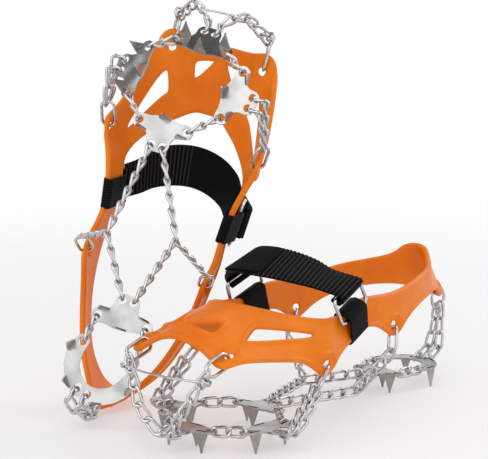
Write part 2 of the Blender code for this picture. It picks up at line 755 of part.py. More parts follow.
    def toe_chain(self, sign):
        end = Vector((sign * TOE_LINK_END.x, TOE_LINK_END.y, TOE_LINK_END.z))
        bend = Vector((sign * TOE_CHAIN_BEND.x, TOE_CHAIN_BEND.y, TOE_CHAIN_BEND.z))
        u = self.near_u("toe", sign) * PAIR_HOLE_U
        start, lead = self.lead("toe", u)
        top = end + (end - bend).normalized() * LINK_HOOK
        links = strand([start, lead, bend, top], led=True, ups=self.ups("toe", "toe"))
        if sign > 0:
            self.toe_links_plus = links
        else:
            self.toe_links_minus = links
        sets = self.chain_sets(links)
        last = tab_link(self.tabs[("toe", sign)], end - (end - bend).normalized() * LINK_HOOK)
        sets.append(last)
        self.unite("toe_chain_" + self.side(sign), sets)

    def side_chain(self, sign, ball, fu):
        end = Vector((sign * BALL_LINK_END.x, BALL_LINK_END.y, BALL_LINK_END.z))
        sets = []
        for k in (1, -1):
            start, lead = self.lead(ball, k * PAIR_HOLE_U)
            spread = Vector((0.0, -1.0, -1.0)).normalized().cross(Vector((1.0, 0.0, 0.0))).normalized()
            tip = end + spread * (2.4 * k * fu)
            e = (tip - lead).normalized()
            links = strand([start, lead, tip + e * LINK_HOOK], led=True, ups=self.ups(ball, ball))
            sets += self.chain_sets(links)
        sets.append(tab_link(self.tabs[("ball", sign)], end - (end - lead).normalized() * LINK_HOOK))
        self.unite("side_chain_" + self.side(sign), sets)

    def mid_chain(self, sign):
        key = "junction_plus" if sign > 0 else "junction_minus"
        jx, jy = self.layout[key][:2]
        junction = Vector((jx, jy, PLATE_MID))
        a = self.hole("arch", self.near_u("arch", sign) * PAIR_HOLE_U, PAIR_HOLE_V, junction)
        heel_u = self.near_u("heel_front", sign) * PAIR_HOLE_U
        b = self.hole("heel_front", heel_u, PAIR_HOLE_V, junction)
        end = Vector((sign * REAR_LINK_END.x, REAR_LINK_END.y, REAR_LINK_END.z))
        sets = self.chain_sets(strand([a, junction + (junction - a).normalized() * LINK_HOOK]))
        second = junction + (junction - b).normalized() * LINK_HOOK - JUNCTION_SET
        sets += self.chain_sets(strand([b, second]))
        e = (end - junction).normalized()
        sets += self.chain_sets(strand([junction - e * LINK_HOOK + JUNCTION_SET, end + e * LINK_HOOK]))
        sets.append(tab_link(self.tabs[("rear", sign)], end - e * LINK_HOOK))
        self.unite("mid_chain_" + self.side(sign), sets)

    def toe_wire(self):
        """Wire across the toe with an eye round the outer leg of each toe chain's top link."""
        spots = []
        eyes = []
        for links in (self.toe_links_plus, self.toe_links_minus):
            a, b, s = links[-1]
            e = (b - a).normalized()
            s = (s - e * s.dot(e)).normalized()
            front = s if s.y < 0 else -s
            centre = (a + b) / 2 + front * LINK_HALF
            spots.append(centre)
            spin = front
            other = e.cross(front).normalized()
            path = [centre + (spin * math.cos(t) + other * math.sin(t)) * TOE_EYE_R
                    for t in [2 * math.pi * k / 8 for k in range(8)]]
            eyes.append(tube(path, [e] * 8, TOE_WIRE_R * 1.3, True))
        a, b = spots
        span = (b - a).normalized()
        bow = Vector((0.0, -1.0, 0.0))
        start = a + (span * 0.5 + bow * 0.85).normalized() * TOE_EYE_R
        stop = b + (-span * 0.5 + bow * 0.85).normalized() * TOE_EYE_R
        path = []
        for k in range(7):
            t = k / 6
            path.append(start.lerp(stop, t) + bow * 5.0 * 4 * t * (1 - t))
        rod = tube(path, [Vector((0.0, 0.0, 1.0))] * 7, TOE_WIRE_R * 1.3, False)
        self.unite("toe_wire", [rod, merged(eyes)], (a + b) / 2, b - a, (-6.0, 6.0))

    def heel_tab(self):
        centre, out, down = self.tabs[("heel", 0)]
        top = centre + down * 1.3
        fall = Vector((0.0, 0.35 + self.flare * 0.02, -0.94)).normalized()
        middle = top + fall * RING_R
        x = Vector((1.0, 0.0, 0.0))
        other = x.cross(fall).normalized()
        path = [middle + (fall * math.cos(t) + other * math.sin(t)) * RING_R
                for t in [2 * math.pi * (k + 0.5) / RING_SEGMENTS for k in range(RING_SEGMENTS)]]
        ring = tube(path, [x] * RING_SEGMENTS, TAB_WIRE / 2 * 1.3, True)
        self.add("heel_ring", ring, top, x, (-5.0, 5.0))
        sets = []
        for k in (1, -1):
            t = math.radians(22.0 * k)
            reach = RING_R - TAB_WIRE / 2 - WIRE / 2 - RING_PLAY
            seat = middle + (fall * math.cos(t) + other * math.sin(t)) * reach
            u = self.near_u("heel_rear", k) * MOON_PAIR_U
            bend = HEEL_CHAIN_BEND + Vector((0.0, self.flare * 0.2, 0.0))
            bend.x = self.layout["heel_rear"][0] * 0.5 + k * HEEL_CHAIN_BEND.x
            start, lead = self.lead("heel_rear", u)
            links = strand([start, lead, bend, seat], led=True)
            e = (links[-1][1] - links[-1][0]).normalized()
            links[-1] = (links[-1][0], links[-1][1], x)
            for i in range(len(links) - 2, 0, -1):
                links[i] = (links[i][0], links[i][1], x if (len(links) - 1 - i) % 2 == 0 else e.cross(x))
            sets += self.chain_sets(links, True)
        self.unite("heel_tab_chain", sets)

    def strap(self):
        line = strap_line(0.0)
        stations = list(reversed(hook_stations(1.0))) + line + hook_stations(-1.0)
        self.add("instep_strap", strip_solid(stations, STRAP_THICK))
        self.flap(-self.hand)
        for sign in (1, -1):
            path = mirror(ring_corners(STRAP_RING_CUT), sign)
            normal = mirror([FLANK_OUT], sign)[0]
            pivot = mirror([RING_CENTRE + DOWN_DIR * (STRAP_RING_SHORT / 2)], sign)[0]
            axis = mirror([BAR_DIR], sign)[0]
            ring = tube(path, [normal] * len(path), STRAP_RING_WIRE / 2 * 1.25, True)
            self.add("strap_ring_" + self.side(sign), ring, pivot, axis, (-3.5, 3.5))
            self.keeper(sign)

    def flap(self, sign):
        """Loose end of the strap on top of it, from the inner ring to past the middle."""
        lifted = strap_line(FLAP_GAP + FLAP_THICK)
        end = tuple(lifted[3][k].lerp(lifted[3 + sign][k], 0.45) for k in range(3))
        stations = [end] + lifted[3:] if sign < 0 else lifted[:4] + [end]
        narrow = []
        for front, rear, out in stations:
            narrow.append((front.lerp(rear, 0.04), rear.lerp(front, 0.04), out.normalized()))
        pivot = mirror([RING_CENTRE - DOWN_DIR * (STRAP_RING_SHORT / 2)], sign)[0]
        axis = mirror([BAR_DIR], sign)[0] * sign
        self.add("strap_flap", strip_solid(narrow, FLAP_THICK), pivot, axis, (0.0, FLAP_OPEN[self.name]))

    def keeper(self, sign):
        """Webbing loop: over the ring's lower bar, down the harness, under it and up inside."""
        bar = RING_CENTRE + DOWN_DIR * (STRAP_RING_SHORT / 2)
        k = KEEPER_CENTRE
        t = KEEPER_THICK
        lap = 0.6
        r = STRAP_RING_WIRE / 2 * 1.25 + 0.4
        bn = (bar - k).dot(FLANK_OUT)
        bd = (bar - k).dot(DOWN_DIR)
        inside = -HARNESS_THICK - lap
        top, bottom = -HARNESS_UP - lap, HARNESS_DOWN + lap
        inner = [(bn + r, bd), (bn + r * 0.5, bd - r), (lap + 0.4, top - 0.6), (inside, top),
                 (inside, bottom), (lap, bottom), (lap, bd + r + 3.5), (bn + r, bd + r * 0.5)]
        verts = []
        n = len(inner)
        outer = []
        for i in range(n):
            p0, p1, p2 = Vector(inner[i - 1]), Vector(inner[i]), Vector(inner[(i + 1) % n])
            d1, d2 = (p1 - p0).normalized(), (p2 - p1).normalized()
            n1, n2 = Vector((-d1.y, d1.x)), Vector((-d2.y, d2.x))
            m = (n1 + n2).normalized()
            m = m * (t / max(0.5, m.dot(n1)))
            if signed_area(inner) > 0:
                m = -m
            outer.append((p1.x + m.x, p1.y + m.y))
        faces = []
        for w in (-0.5, 0.5):
            for loop in (inner, outer):
                for a, b in loop:
                    verts.append(k + FLANK_OUT * a + DOWN_DIR * b + BAR_DIR * (w * KEEPER_WIDTH))
        for i in range(n):
            j = (i + 1) % n
            faces.append((i, j, 2 * n + j, 2 * n + i))
            faces.append((n + j, n + i, 3 * n + i, 3 * n + j))
            faces.append((j, i, n + i, n + j))
            faces.append((2 * n + i, 2 * n + j, 3 * n + j, 3 * n + i))
        verts = mirror(verts, sign)
        self.add("keeper_" + self.side(sign), (verts, faces))


def ring_corners(cut):
    """Rectangle with cut corners in the ring's plane."""
    a = STRAP_RING_LONG / 2
    b = STRAP_RING_SHORT / 2
    flat = [(a, b - cut), (a, cut - b), (a - cut, -b), (cut - a, -b),
            (-a, cut - b), (-a, b - cut), (cut - a, b), (a - cut, b)]
    return [RING_CENTRE + BAR_DIR * u + DOWN_DIR * v for u, v in flat]


def lowest(cleat):
    bpy.context.view_layer.update()
    return min((o.matrix_world @ v.co).z for o in cleat.nodes.values() for v in o.data.vertices)


def build_pair():
    for obj in list(bpy.data.objects):
        bpy.data.objects.remove(obj)
    left = Cleat("left", LAYOUT_LEFT, 1, LEFT_FLARE)
    left.build()
    right = Cleat("right", LAYOUT_RIGHT, -1, RIGHT_FLARE)
    right.build()
    right.empty.rotation_euler = RIGHT_TURN
    right.empty.location = (RIGHT_PLACE[0] * MM, RIGHT_PLACE[1] * MM, 0.0)
    right.empty.location.z = -lowest(right)
    bpy.context.view_layer.update()
    points = [o.matrix_world @ v.co for c in (left, right) for o in c.nodes.values() for v in o.data.vertices]
    middle_x = (min(p.x for p in points) + max(p.x for p in points)) / 2
    middle_y = (min(p.y for p in points) + max(p.y for p in points)) / 2
    for c in (left, right):
        c.empty.location.x -= middle_x
        c.empty.location.y -= middle_y
    bpy.context.view_layer.update()
    return left, right


LEFT, RIGHT = build_pair()
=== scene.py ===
"""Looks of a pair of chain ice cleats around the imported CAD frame. Lengths are in mm unless stated."""

import math

import bmesh
import bpy
from mathutils import Euler, Matrix, Vector, kdtree
from mathutils.geometry import tessellate_polygon


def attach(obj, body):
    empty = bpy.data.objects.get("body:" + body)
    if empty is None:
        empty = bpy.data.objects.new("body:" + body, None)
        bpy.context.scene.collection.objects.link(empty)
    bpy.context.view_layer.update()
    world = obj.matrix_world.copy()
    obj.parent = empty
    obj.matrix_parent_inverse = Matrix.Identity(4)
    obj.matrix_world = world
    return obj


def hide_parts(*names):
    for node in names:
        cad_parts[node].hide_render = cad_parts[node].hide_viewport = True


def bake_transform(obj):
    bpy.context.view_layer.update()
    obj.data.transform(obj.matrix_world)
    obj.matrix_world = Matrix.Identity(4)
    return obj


MM = 0.001

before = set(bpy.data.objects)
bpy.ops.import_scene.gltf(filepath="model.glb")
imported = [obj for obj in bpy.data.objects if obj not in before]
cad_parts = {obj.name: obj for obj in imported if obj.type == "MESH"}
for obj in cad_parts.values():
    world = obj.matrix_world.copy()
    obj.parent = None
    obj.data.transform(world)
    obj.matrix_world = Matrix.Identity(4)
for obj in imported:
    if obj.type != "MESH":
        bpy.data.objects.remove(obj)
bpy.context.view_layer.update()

# Elastomer: colours, gloss, range of roughness, bump and, in metres, how far light spreads in it
ORANGE_DEEP = (0.8, 0.165, 0.003)
ORANGE_BRIGHT = (0.88, 0.23, 0.007)
ELASTOMER_GLOSS = 0.2
ELASTOMER_ROUGH = (0.3, 0.5)
ELASTOMER_BUMP = (0.12, 0.0003)
SUBSURFACE = 0.06
SUBSURFACE_REACH = (0.004, 0.0015, 0.0005)

# Woven tape: colour between the threads, gloss, roughness, strength of its bump and waver of its threads
BLACK_YARN = (0.002, 0.002, 0.0025)
WEBBING_GLOSS = 0.06
WEBBING_ROUGH = (0.5, 0.7)
WEAVE_BUMP = 0.6
THREAD_WAVER = 0.4

# Steel: strength and, in metres, height of its finest bump
STEEL_BUMP = (0.06, 0.0002)

# Noise scales of the finishes; a wave texture of WAVE_SCALE has one band in each metre
MOTTLE_SCALE = 35.0
GRAIN_SCALE = 900.0
FUZZ_SCALE = 400.0
DISH_SCALE = 45.0
FINE_FACTOR = 9.0
WAVE_SCALE = 0.314

# Where each cleat's own frame lies in the row frame
LEFT_PLACE = (47.547, -15.781, 0.0)
RIGHT_PLACE = (-17.353, -95.281, 161.259)
RIGHT_TURN = Euler((math.radians(-109.4), math.radians(14.5), math.radians(27.8)), "XYZ")

# Spike plates
PLATE_THICK = 1.5
TOOTH_HEIGHT = 13.0
PLATE_MID = TOOTH_HEIGHT + PLATE_THICK / 2
PLATE_TOP = TOOTH_HEIGHT + PLATE_THICK
HOLE_R = 2.9
HOLE_STEPS = 24
ARM_HOLE = 17.2
PAIR_HOLE_U = 3.9
PAIR_HOLE_V = 14.0
MOON_PAIR_V = 26.0
MOON_PAIR_U = 4.0
MOON_ARM_HOLE = 21.0
CORNER_ROUND = 1.3
CORNER_STEPS = 4
CORNER_SHARE = 0.45
PLATE_BEVEL = 0.22
BEVEL_ANGLE = 40.0

# Tooth blades from root to point: depth below the plate's top, inset from the edge, share of root width
TOOTH_ROWS = ((0.0, 0.5, 1.0), (0.5, 0.15, 1.0), (1.5, 0.0, 0.98), (3.2, 0.0, 0.9), (8.0, 0.0, 0.52),
              (12.0, 0.0, 0.22), (PLATE_TOP, 0.0, 0.1))
TOOTH_ROOT = 0.96
TOOTH_THINNING = 0.3

# Chain
WIRE = 2.2
LINK_HALF = 3.0
LINK_PITCH = 10.6
LINK_HOOK = 0.85
LINK_TOUCH = 0.25
LINK_ROLL = 35.0
LINK_HALF_STEPS = 14
LINK_STRAIGHT = 0.6
WIRE_SIDES = 10
SEAT_IN_HOLE = 0.5
RIM_REACH = 2.96
FIRST_CHORD = 8.8
LEAD_RISE = 0.4
LEAD_SPLAY = 1.15
UP = Vector((0.0, 0.0, 1.0))
X_DIR = Vector((1.0, 0.0, 0.0))
JUNCTION_SET = Vector((0.13, 0.21, 0.57))
SIDE_SPREAD = Vector((0.0, -1.0, 1.0)).normalized() * 2.4

# Search for the chord of a chain, between these shares of its mean pitch
CHORD_LOW = 0.6
CHORD_HIGH = 1.02
HALVINGS = 50
LEAST_STEP = 1e-6

# Tab links and heel ring; EYELET_SEAT is where their wire bears below an eyelet's centre
TAB_WIRE = 2.4
TAB_LINK_HALF = 4.6
TAB_LINK_TURN = 25.0
EYELET_SEAT = 1.3
RING_R = 8.0
RING_STEPS = 40
RING_FALL = Vector((0.0, 0.35, -0.94))
RING_FLARE = Vector((0.0, 0.02, 0.0))
RING_PLAY = 1.3
STRAND_SPLAY = 22.0

# Harness
HARNESS_THICK = 2.8
RIM_HEIGHT = 1.4
RIM_WIDTH = 3.4
RIM_CREST = 0.5
RIM_FALL = 0.6
EDGE_DROP = 0.75
EDGE_WIDTH = 1.3
EDGE_OUT = 0.55
OUTER_DROP = 1.6
SMOOTH_LEVELS = 3
CORNER_CREASE = 0.3
BOSS_R = 7.0
BOSS_OPEN = 0.7
LAND_R = 4.0
BOSS_WIDTH = 1.1
BOSS_HEIGHT = 1.8
HARNESS_UP = 10.0
HARNESS_DOWN = 10.6
KEEPER_SEAT = 12.5
OUT_HINT = Vector((0.0, 30.0, 60.0))

# Harness stations that a window or an eyelet follows, the row of the sheet that is open there, even rows
WINDOW_STATIONS = (1, 2, 6, 7, 8, 9)
TAB_STATIONS = {"toe": 5, "ball": 11, "rear": 17, "heel": 25}
WINDOW_ROW = 3
EYELET_ROW = 1
EVEN_ROWS = (0.2, 0.4, 0.6, 0.8)

# Instep strap, rings and keepers
STRAP_THICK = 1.8
FLAP_THICK = 1.5
FLAP_GAP = 0.5
FLAP_BEND = 1.75
FLAP_INSET = 0.04
FLAP_END = 0.45
FLAP_HOOKS = 3
RIB_PITCH = 3.0
RIB_HEIGHT = 0.9
RIB_ROUND = 0.7
RIB_FROM = 3.0
RIB_TO = 52.0
RIB_FADE_IN = 1.5
RIB_FADE_OUT = 2.0
STRAP_STEPS = 420
FLAP_STEPS = 130
KEEPER_STEPS = 120
STRAP_RING_WIRE = 2.6
STRAP_RING_LONG = 32.0
STRAP_RING_SHORT = 18.4
STRAP_RING_ROUND = 3.4
STRAP_RING_SIDES = 12
QUARTER_STEPS = 6
HOOK_INNER = 2.95
HOOK_HALF = 12.8
HOOK_ANGLES = (15.0, -35.0, -85.0, -135.0, -178.0)
KEEPER_WIDTH = 22.0
KEEPER_THICK = 1.4
KEEPER_LAP = 0.6
KEEPER_PLAY = 0.6
KEEPER_BELOW = 6.0
KEEPER_INSET = 4.2
RING_CENTRE = Vector((47.0, -4.2, 86.2))
BAR_DIR = Vector((-0.09, 0.92, 0.38)).normalized()
FLANK_OUT = Vector((0.985, 0.04, 0.15)).normalized()
DOWN_DIR = BAR_DIR.cross(FLANK_OUT).normalized()
UPPER_BAR = RING_CENTRE - DOWN_DIR * (STRAP_RING_SHORT / 2)
LOWER_BAR = RING_CENTRE + DOWN_DIR * (STRAP_RING_SHORT / 2)
KEEPER_CENTRE = LOWER_BAR + DOWN_DIR * KEEPER_BELOW - FLANK_OUT * KEEPER_INSET

# Section of the tape, round from its front edge over its face: share of the width, share of the thickness
TAPE_SECTION = ((0.0, 0.5), (0.012, 0.12), (0.04, 0.0), (0.35, 0.0), (0.65, 0.0), (0.96, 0.0), (0.988, 0.12),
                (1.0, 0.5), (0.988, 0.88), (0.96, 1.0), (0.5, 1.0), (0.04, 1.0), (0.012, 0.88))
FACE_DEPTH = 0.4

# Toe wire
TOE_WIRE_R = 0.8
TOE_EYE_R = 3.1
EYE_RISE = 0.7
EYE_STEPS = 24
TOE_WIRE_SIDES = 8
TOE_BOW = 5.0
BOW_DIR = Vector((0.0, -1.0, 0.0))
EYE_LEAVE = 0.85
EYE_ACROSS = 0.5
ROD_STEPS = 24

# Plates under each sole, the ball plates by their side: centre x, centre y, then turn and tilt in degrees
LEFT_PLATES = {
    "toe": (0.0, -110.0, -90.0, 0.0),
    ("ball", 1): (36.0, -79.0, 0.0, 0.0),
    ("ball", -1): (-36.0, -79.0, 180.0, 0.0),
    "arch": (0.0, -44.0, 90.0, 0.0),
    "heel_front": (0.0, 91.0, -90.0, 0.0),
    "heel_rear": (0.0, 115.0, 90.0, 0.0),
}
RIGHT_PLATES = {
    "toe": (0.0, -104.5, -89.0, 30.0),
    ("ball", 1): (30.5, -77.5, 8.0, 0.0),
    ("ball", -1): (-38.0, -77.0, 186.0, 25.0),
    "arch": (-8.5, -44.0, 90.0, 0.0),
    "heel_front": (7.5, 91.5, -91.0, 0.0),
    "heel_rear": (6.0, 119.0, 110.0, 0.0),
}

# Where the mid chains meet on each side, and how far the harness heel flares out, or in where negative
LEFT_JUNCTIONS = {1: (24.0, 33.0), -1: (-24.0, 33.0)}
RIGHT_JUNCTIONS = {1: (25.5, 29.0), -1: (-22.0, 37.0)}
LEFT_FLARE = 0.0
RIGHT_FLARE = -17.0

# Lower ends of the tab links and bends of the chains; the heel's bend follows its plate's x and the flare
TOE_LINK_END = Vector((35.0, -131.0, 59.5))
BALL_LINK_END = Vector((58.5, -53.0, 37.5))
REAR_LINK_END = Vector((48.0, 43.0, 44.0))
TOE_CHAIN_BEND = Vector((17.0, -139.0, 27.0))
HEEL_CHAIN_BEND = Vector((4.5, 163.0, 20.0))
HEEL_BEND_FOLLOW = 0.5
HEEL_BEND_FLARE = 0.2

# Camera, in the left cleat's frame
CAMERA_AT = Vector((688.18, -835.94, 298.47))
CAMERA_AZIMUTH = 41.5
CAMERA_ELEVATION = 8.89
CAMERA_LENS = 118.3
CAMERA_SENSOR = 36.0

# Studio in metres: lamps as place, size and watts, cards as place, target, width and height, world's light
AIM = (0.0, 0.0, 0.1)
LAMPS = {
    "key": ((-0.2, -1.4, 1.6), 2.8, 16.0),
    "fill": ((1.5, -0.9, 0.8), 2.8, 14.0),
    "back": ((0.2, 1.4, 1.3), 1.6, 10.0),
}
CARDS = {
    "card_front": ((1.2, -0.7, 0.25), (0.0, 0.0, 0.12), 0.35, 1.6),
    "card_side": ((-0.95, -0.8, 0.95), (0.0, 0.0, 0.2), 0.5, 1.6),
    "card_top": ((0.4, -0.2, 1.4), AIM, 0.5, 1.6),
}
WHITE = (1.0, 1.0, 1.0, 1.0)
FLOOR_WHITE = (0.95, 0.95, 0.95, 1.0)
CARD_DARK = (0.01, 0.01, 0.011, 1.0)
FLOOR_SIZE = 12.0
FLOOR_ROUGH = 0.6
FLOOR_FADE = (0.35, 1.1)
FLOOR_GLOW = 0.4
WORLD_LIGHT = 0.45


def dress(tree, node, values=None, sources=None):
    """Set values on some of a node's sockets and link sources into others."""
    for socket, value in (values or {}).items():
        node.inputs[socket].default_value = value
    for socket, source in (sources or {}).items():
        tree.links.new(source, node.inputs[socket])
    return node


def add_node(tree, kind, values=None, sources=None):
    return dress(tree, tree.nodes.new(kind), values, sources)


def new_material(name):
    """New material, its node tree and its principled shader."""
    mat = bpy.data.materials.new(name)
    mat.use_nodes = True
    return mat, mat.node_tree, mat.node_tree.nodes["Principled BSDF"]


def coordinates(tree, kind="Object"):
    return tree.nodes.new("ShaderNodeTexCoord").outputs[kind]


def noise(tree, coords, scale, detail=4.0):
    node = add_node(tree, "ShaderNodeTexNoise", {"Scale": scale, "Detail": detail}, {"Vector": coords})
    return node.outputs["Fac"]


def ramp(tree, value, low, high, stops=(0.3, 0.7)):
    """Colour that runs from low to high between two values."""
    node = add_node(tree, "ShaderNodeValToRGB", sources={"Fac": value})
    for element, position, colour in zip(node.color_ramp.elements, stops, (low, high)):
        element.position = position
        element.color = (*colour, 1.0)
    return node.outputs["Color"]


def spread(tree, value, low, high):
    """Value between 0 and 1 mapped to low and high."""
    node = add_node(tree, "ShaderNodeMapRange", {"To Min": low, "To Max": high}, {"Value": value})
    return node.outputs["Result"]


def combine(tree, operation, a, b):
    """Two values through a math node."""
    node = add_node(tree, "ShaderNodeMath", sources={0: a, 1: b})
    node.operation = operation
    return node.outputs["Value"]


def bump(tree, shader, height, strength, distance):
    """Bump added to any that the shader already has."""
    node = add_node(tree, "ShaderNodeBump", {"Strength": strength, "Distance": distance}, {"Height": height})
    for link in shader.inputs["Normal"].links:
        tree.links.new(link.from_socket, node.inputs["Normal"])
    tree.links.new(node.outputs["Normal"], shader.inputs["Normal"])


def elastomer_material():
    """Moulded orange elastomer: faintly mottled, with a soft gloss."""
    mat, tree, shader = new_material("orange_elastomer")
    coords = coordinates(tree)
    mottle = noise(tree, coords, MOTTLE_SCALE)
    grain = noise(tree, coords, GRAIN_SCALE, 3.0)
    values = {"Specular IOR Level": ELASTOMER_GLOSS, "Subsurface Weight": SUBSURFACE,
              "Subsurface Radius": SUBSURFACE_REACH}
    sources = {"Base Color": ramp(tree, mottle, ORANGE_DEEP, ORANGE_BRIGHT),
               "Roughness": spread(tree, grain, *ELASTOMER_ROUGH)}
    dress(tree, shader, values, sources)
    bump(tree, shader, grain, *ELASTOMER_BUMP)
    return mat


def webbing_material(name, low, high, along, across, crest=0.0, relief=0.0004):
    """Woven tape, from the strip's own length and width in metres.

    along and across are the pitches of the threads in millimetres, crest is the thread height above which
    the colour turns from low to high, and relief is the height of the weave in metres. On the ribbed tape
    the light colour on the rib crests is a painted highlight.
    """
    mat, tree, shader = new_material(name)
    coords = coordinates(tree, "UV")
    heights = []
    for direction, pitch in (("X", across), ("Y", along)):
        values = {"Scale": WAVE_SCALE / (pitch * MM), "Distortion": THREAD_WAVER, "Detail": 1.0}
        wave = add_node(tree, "ShaderNodeTexWave", values, {"Vector": coords})
        wave.bands_direction = direction
        heights.append(wave.outputs["Fac"])
    weave = combine(tree, "MULTIPLY", *heights)
    fuzz = noise(tree, coordinates(tree), FUZZ_SCALE)
    sources = {"Base Color": ramp(tree, weave, low, high, (crest, 1.0)),
               "Roughness": spread(tree, fuzz, *WEBBING_ROUGH)}
    dress(tree, shader, {"Specular IOR Level": WEBBING_GLOSS}, sources)
    bump(tree, shader, weave, WEAVE_BUMP, relief)
    return mat


def steel_material(name, dark, bright, rough, scale, dishing=0.0):
    """Stainless steel with faint handling marks and uneven polish.

    rough is the range of the roughness, scale that of the marks, and dishing the depth in metres of the
    slight hollows of a pressed sheet.
    """
    mat, tree, shader = new_material(name)
    coords = coordinates(tree)
    marks = noise(tree, coords, scale, 6.0)
    fine = noise(tree, coords, scale * FINE_FACTOR, 3.0)
    sources = {"Base Color": ramp(tree, marks, dark, bright), "Roughness": spread(tree, fine, *rough)}
    dress(tree, shader, {"Metallic": 1.0}, sources)
    bump(tree, shader, fine, *STEEL_BUMP)
    if dishing:
        bump(tree, shader, noise(tree, coords, DISH_SCALE, 1.0), 1.0, dishing)
    return mat


ELASTOMER = elastomer_material()
STRAP_TAPE = webbing_material(
    "strap_tape", BLACK_YARN, (0.011, 0.011, 0.012), along=0.9, across=0.9)
# Ribbed part of the strap: near-black yarn, and the lighter colour on each rib's crest is a painted
# highlight
RIBBED_TAPE_PAINTED_HIGHLIGHT = webbing_material(
    "ribbed_tape_painted_highlight", (0.0015, 0.0015, 0.002), (0.09, 0.09, 0.092), along=0.8, across=RIB_PITCH, crest=0.45)
KEEPER_TAPE = webbing_material(
    "keeper_tape", BLACK_YARN, (0.034, 0.034, 0.036), along=2.0, across=0.7, crest=0.3, relief=0.0002)
CHAIN_STEEL = steel_material(
    "chain_steel", (0.42, 0.42, 0.43), (0.64, 0.64, 0.65), rough=(0.1, 0.2), scale=180.0)
PLATE_STEEL = steel_material(
    "plate_steel", (0.3, 0.3, 0.3), (0.46, 0.46, 0.455), rough=(0.2, 0.3), scale=60.0, dishing=0.0015)
TOOTH_STEEL = steel_material(
    "tooth_steel", (0.26, 0.245, 0.23), (0.44, 0.42, 0.4), rough=(0.22, 0.38), scale=90.0, dishing=0.004)


def add_object(name, data):
    obj = bpy.data.objects.new(name, data)
    bpy.context.scene.collection.objects.link(obj)
    return obj


def mirror(points, sign):
    return [Vector((sign * p.x, p.y, p.z)) for p in points]


def circle(centre, a, b, radius, steps):
    """Points round a centre, from direction a toward direction b."""
    turns = [2 * math.pi * k / steps for k in range(steps)]
    return [centre + (a * math.cos(t) + b * math.sin(t)) * radius for t in turns]


def flow(stations, i):
    """Direction along stations of two edges, at one of them."""
    ahead = stations[min(i + 1, len(stations) - 1)]
    behind = stations[max(i - 1, 0)]
    return (ahead[0] + ahead[1] - behind[0] - behind[1]).normalized()


def toward(a, b):
    """Unit vector from a to b."""
    return (b - a).normalized()


def square_to(e, v):
    """Unit vector along the part of v that is square to e."""
    return (v - e * v.dot(e)).normalized()


def curve_at(points, t):
    """Point at t (0 to 1) of a smooth curve through the points."""
    n = len(points) - 1
    x = t * n
    i = min(int(x), n - 1)
    f = x - i
    p1, p2 = points[i], points[i + 1]
    p0 = points[i - 1] if i > 0 else p1 * 2 - p2
    p3 = points[i + 2] if i + 2 <= n else p2 * 2 - p1
    return ((p1 * 2) + (p2 - p0) * f + (p0 * 2 - p1 * 5 + p2 * 4 - p3) * f * f
            + (p1 * 3 - p0 - p2 * 3 + p3) * f * f * f) * 0.5


def skin(rows, sides, closed=False):
    """Quads between rows of points, and from the last row to the first if closed."""
    quads = []
    for i in range(rows if closed else rows - 1):
        this, following = i * sides, (i + 1) % rows * sides
        for k in range(sides):
            m = (k + 1) % sides
            quads.append((this + k, this + m, following + m, following + k))
    return quads


def round_tube(path, normals, radius, closed, sides=WIRE_SIDES):
    """Round wire along a path, with a normal near each point to fix the ring's turn."""
    n = len(path)
    verts = []
    for i, p in enumerate(path):
        before = path[i - 1] if (i > 0 or closed) else p
        after = path[(i + 1) % n] if (i < n - 1 or closed) else p
        t = toward(before, after)
        m = square_to(t, normals[i])
        side = t.cross(m)
        for k in range(sides):
            a = 2 * math.pi * k / sides
            verts.append(p + side * (math.cos(a) * radius) + m * (math.sin(a) * radius))
    faces = skin(n, sides, closed)
    if not closed:
        faces.append(tuple(reversed(range(sides))))
        faces.append(tuple((n - 1) * sides + k for k in range(sides)))
    return verts, faces


def merged(parts):
    verts = []
    faces = []
    for v, f in parts:
        base = len(verts)
        verts += v
        faces += [tuple(i + base for i in face) for face in f]
    return verts, faces


def round_link(a, b, side_a, side_b, half=LINK_HALF, wire=WIRE):
    """Oval link from bow a to bow b, twisted from one side direction to the other."""
    e = toward(a, b)
    length = (b - a).length
    half = min(half, (length - LINK_STRAIGHT) / 2)
    s0 = square_to(e, side_a)
    s1 = square_to(e, side_b)
    turn = math.atan2(s0.cross(s1).dot(e), s0.dot(s1))
    other = e.cross(s0)
    straight = length - 2 * half
    oval = []
    for k in range(LINK_HALF_STEPS):
        d = (straight + math.pi * half) * k / LINK_HALF_STEPS
        q = max(0.0, d - straight) / half
        oval.append((half + min(d, straight) + half * math.sin(q), half * math.cos(q)))
    oval += [(length - x, -y) for x, y in oval]
    path = []
    normals = []
    for x, y in oval:
        angle = turn * x / length
        s = s0 * math.cos(angle) + other * math.sin(angle)
        path.append(a + e * x + s * y)
        normals.append(e.cross(s))
    return round_tube(path, normals, wire / 2, True)


def walk(path):
    """Ends of equal chords of about a link's pitch, from one end of a polyline to the other."""
    total = sum((path[i + 1] - path[i]).length for i in range(len(path) - 1))
    n = max(1, round(total / LINK_PITCH))
    end = toward(path[-2], path[-1])

    def spots(chord):
        pts = [path[0]]
        seg = 0
        while len(pts) < n + 1:
            p = pts[-1]
            for seg in range(seg, len(path) - 1):
                d = path[seg + 1] - path[seg]
                f = path[seg] - p
                qa, qb, qc = d.dot(d), 2 * f.dot(d), f.dot(f) - chord * chord
                disc = qb * qb - 4 * qa * qc
                if disc >= 0:
                    t = (-qb + math.sqrt(disc)) / (2 * qa)
                    if 0.0 <= t <= 1.0:
                        pts.append(path[seg] + d * t)
                        break
            else:
                left = chord - (path[-1] - p).length
                pts.append(path[-1] + end * max(left, LEAST_STEP))
        return pts

    low, high = total / n * CHORD_LOW, total / n * CHORD_HIGH
    for _ in range(HALVINGS):
        mid = (low + high) / 2
        if (spots(mid)[-1] - path[-1]).dot(end) > 0:
            high = mid
        else:
            low = mid
    pts = spots((low + high) / 2)
    pts[-1] = path[-1].copy()
    return pts


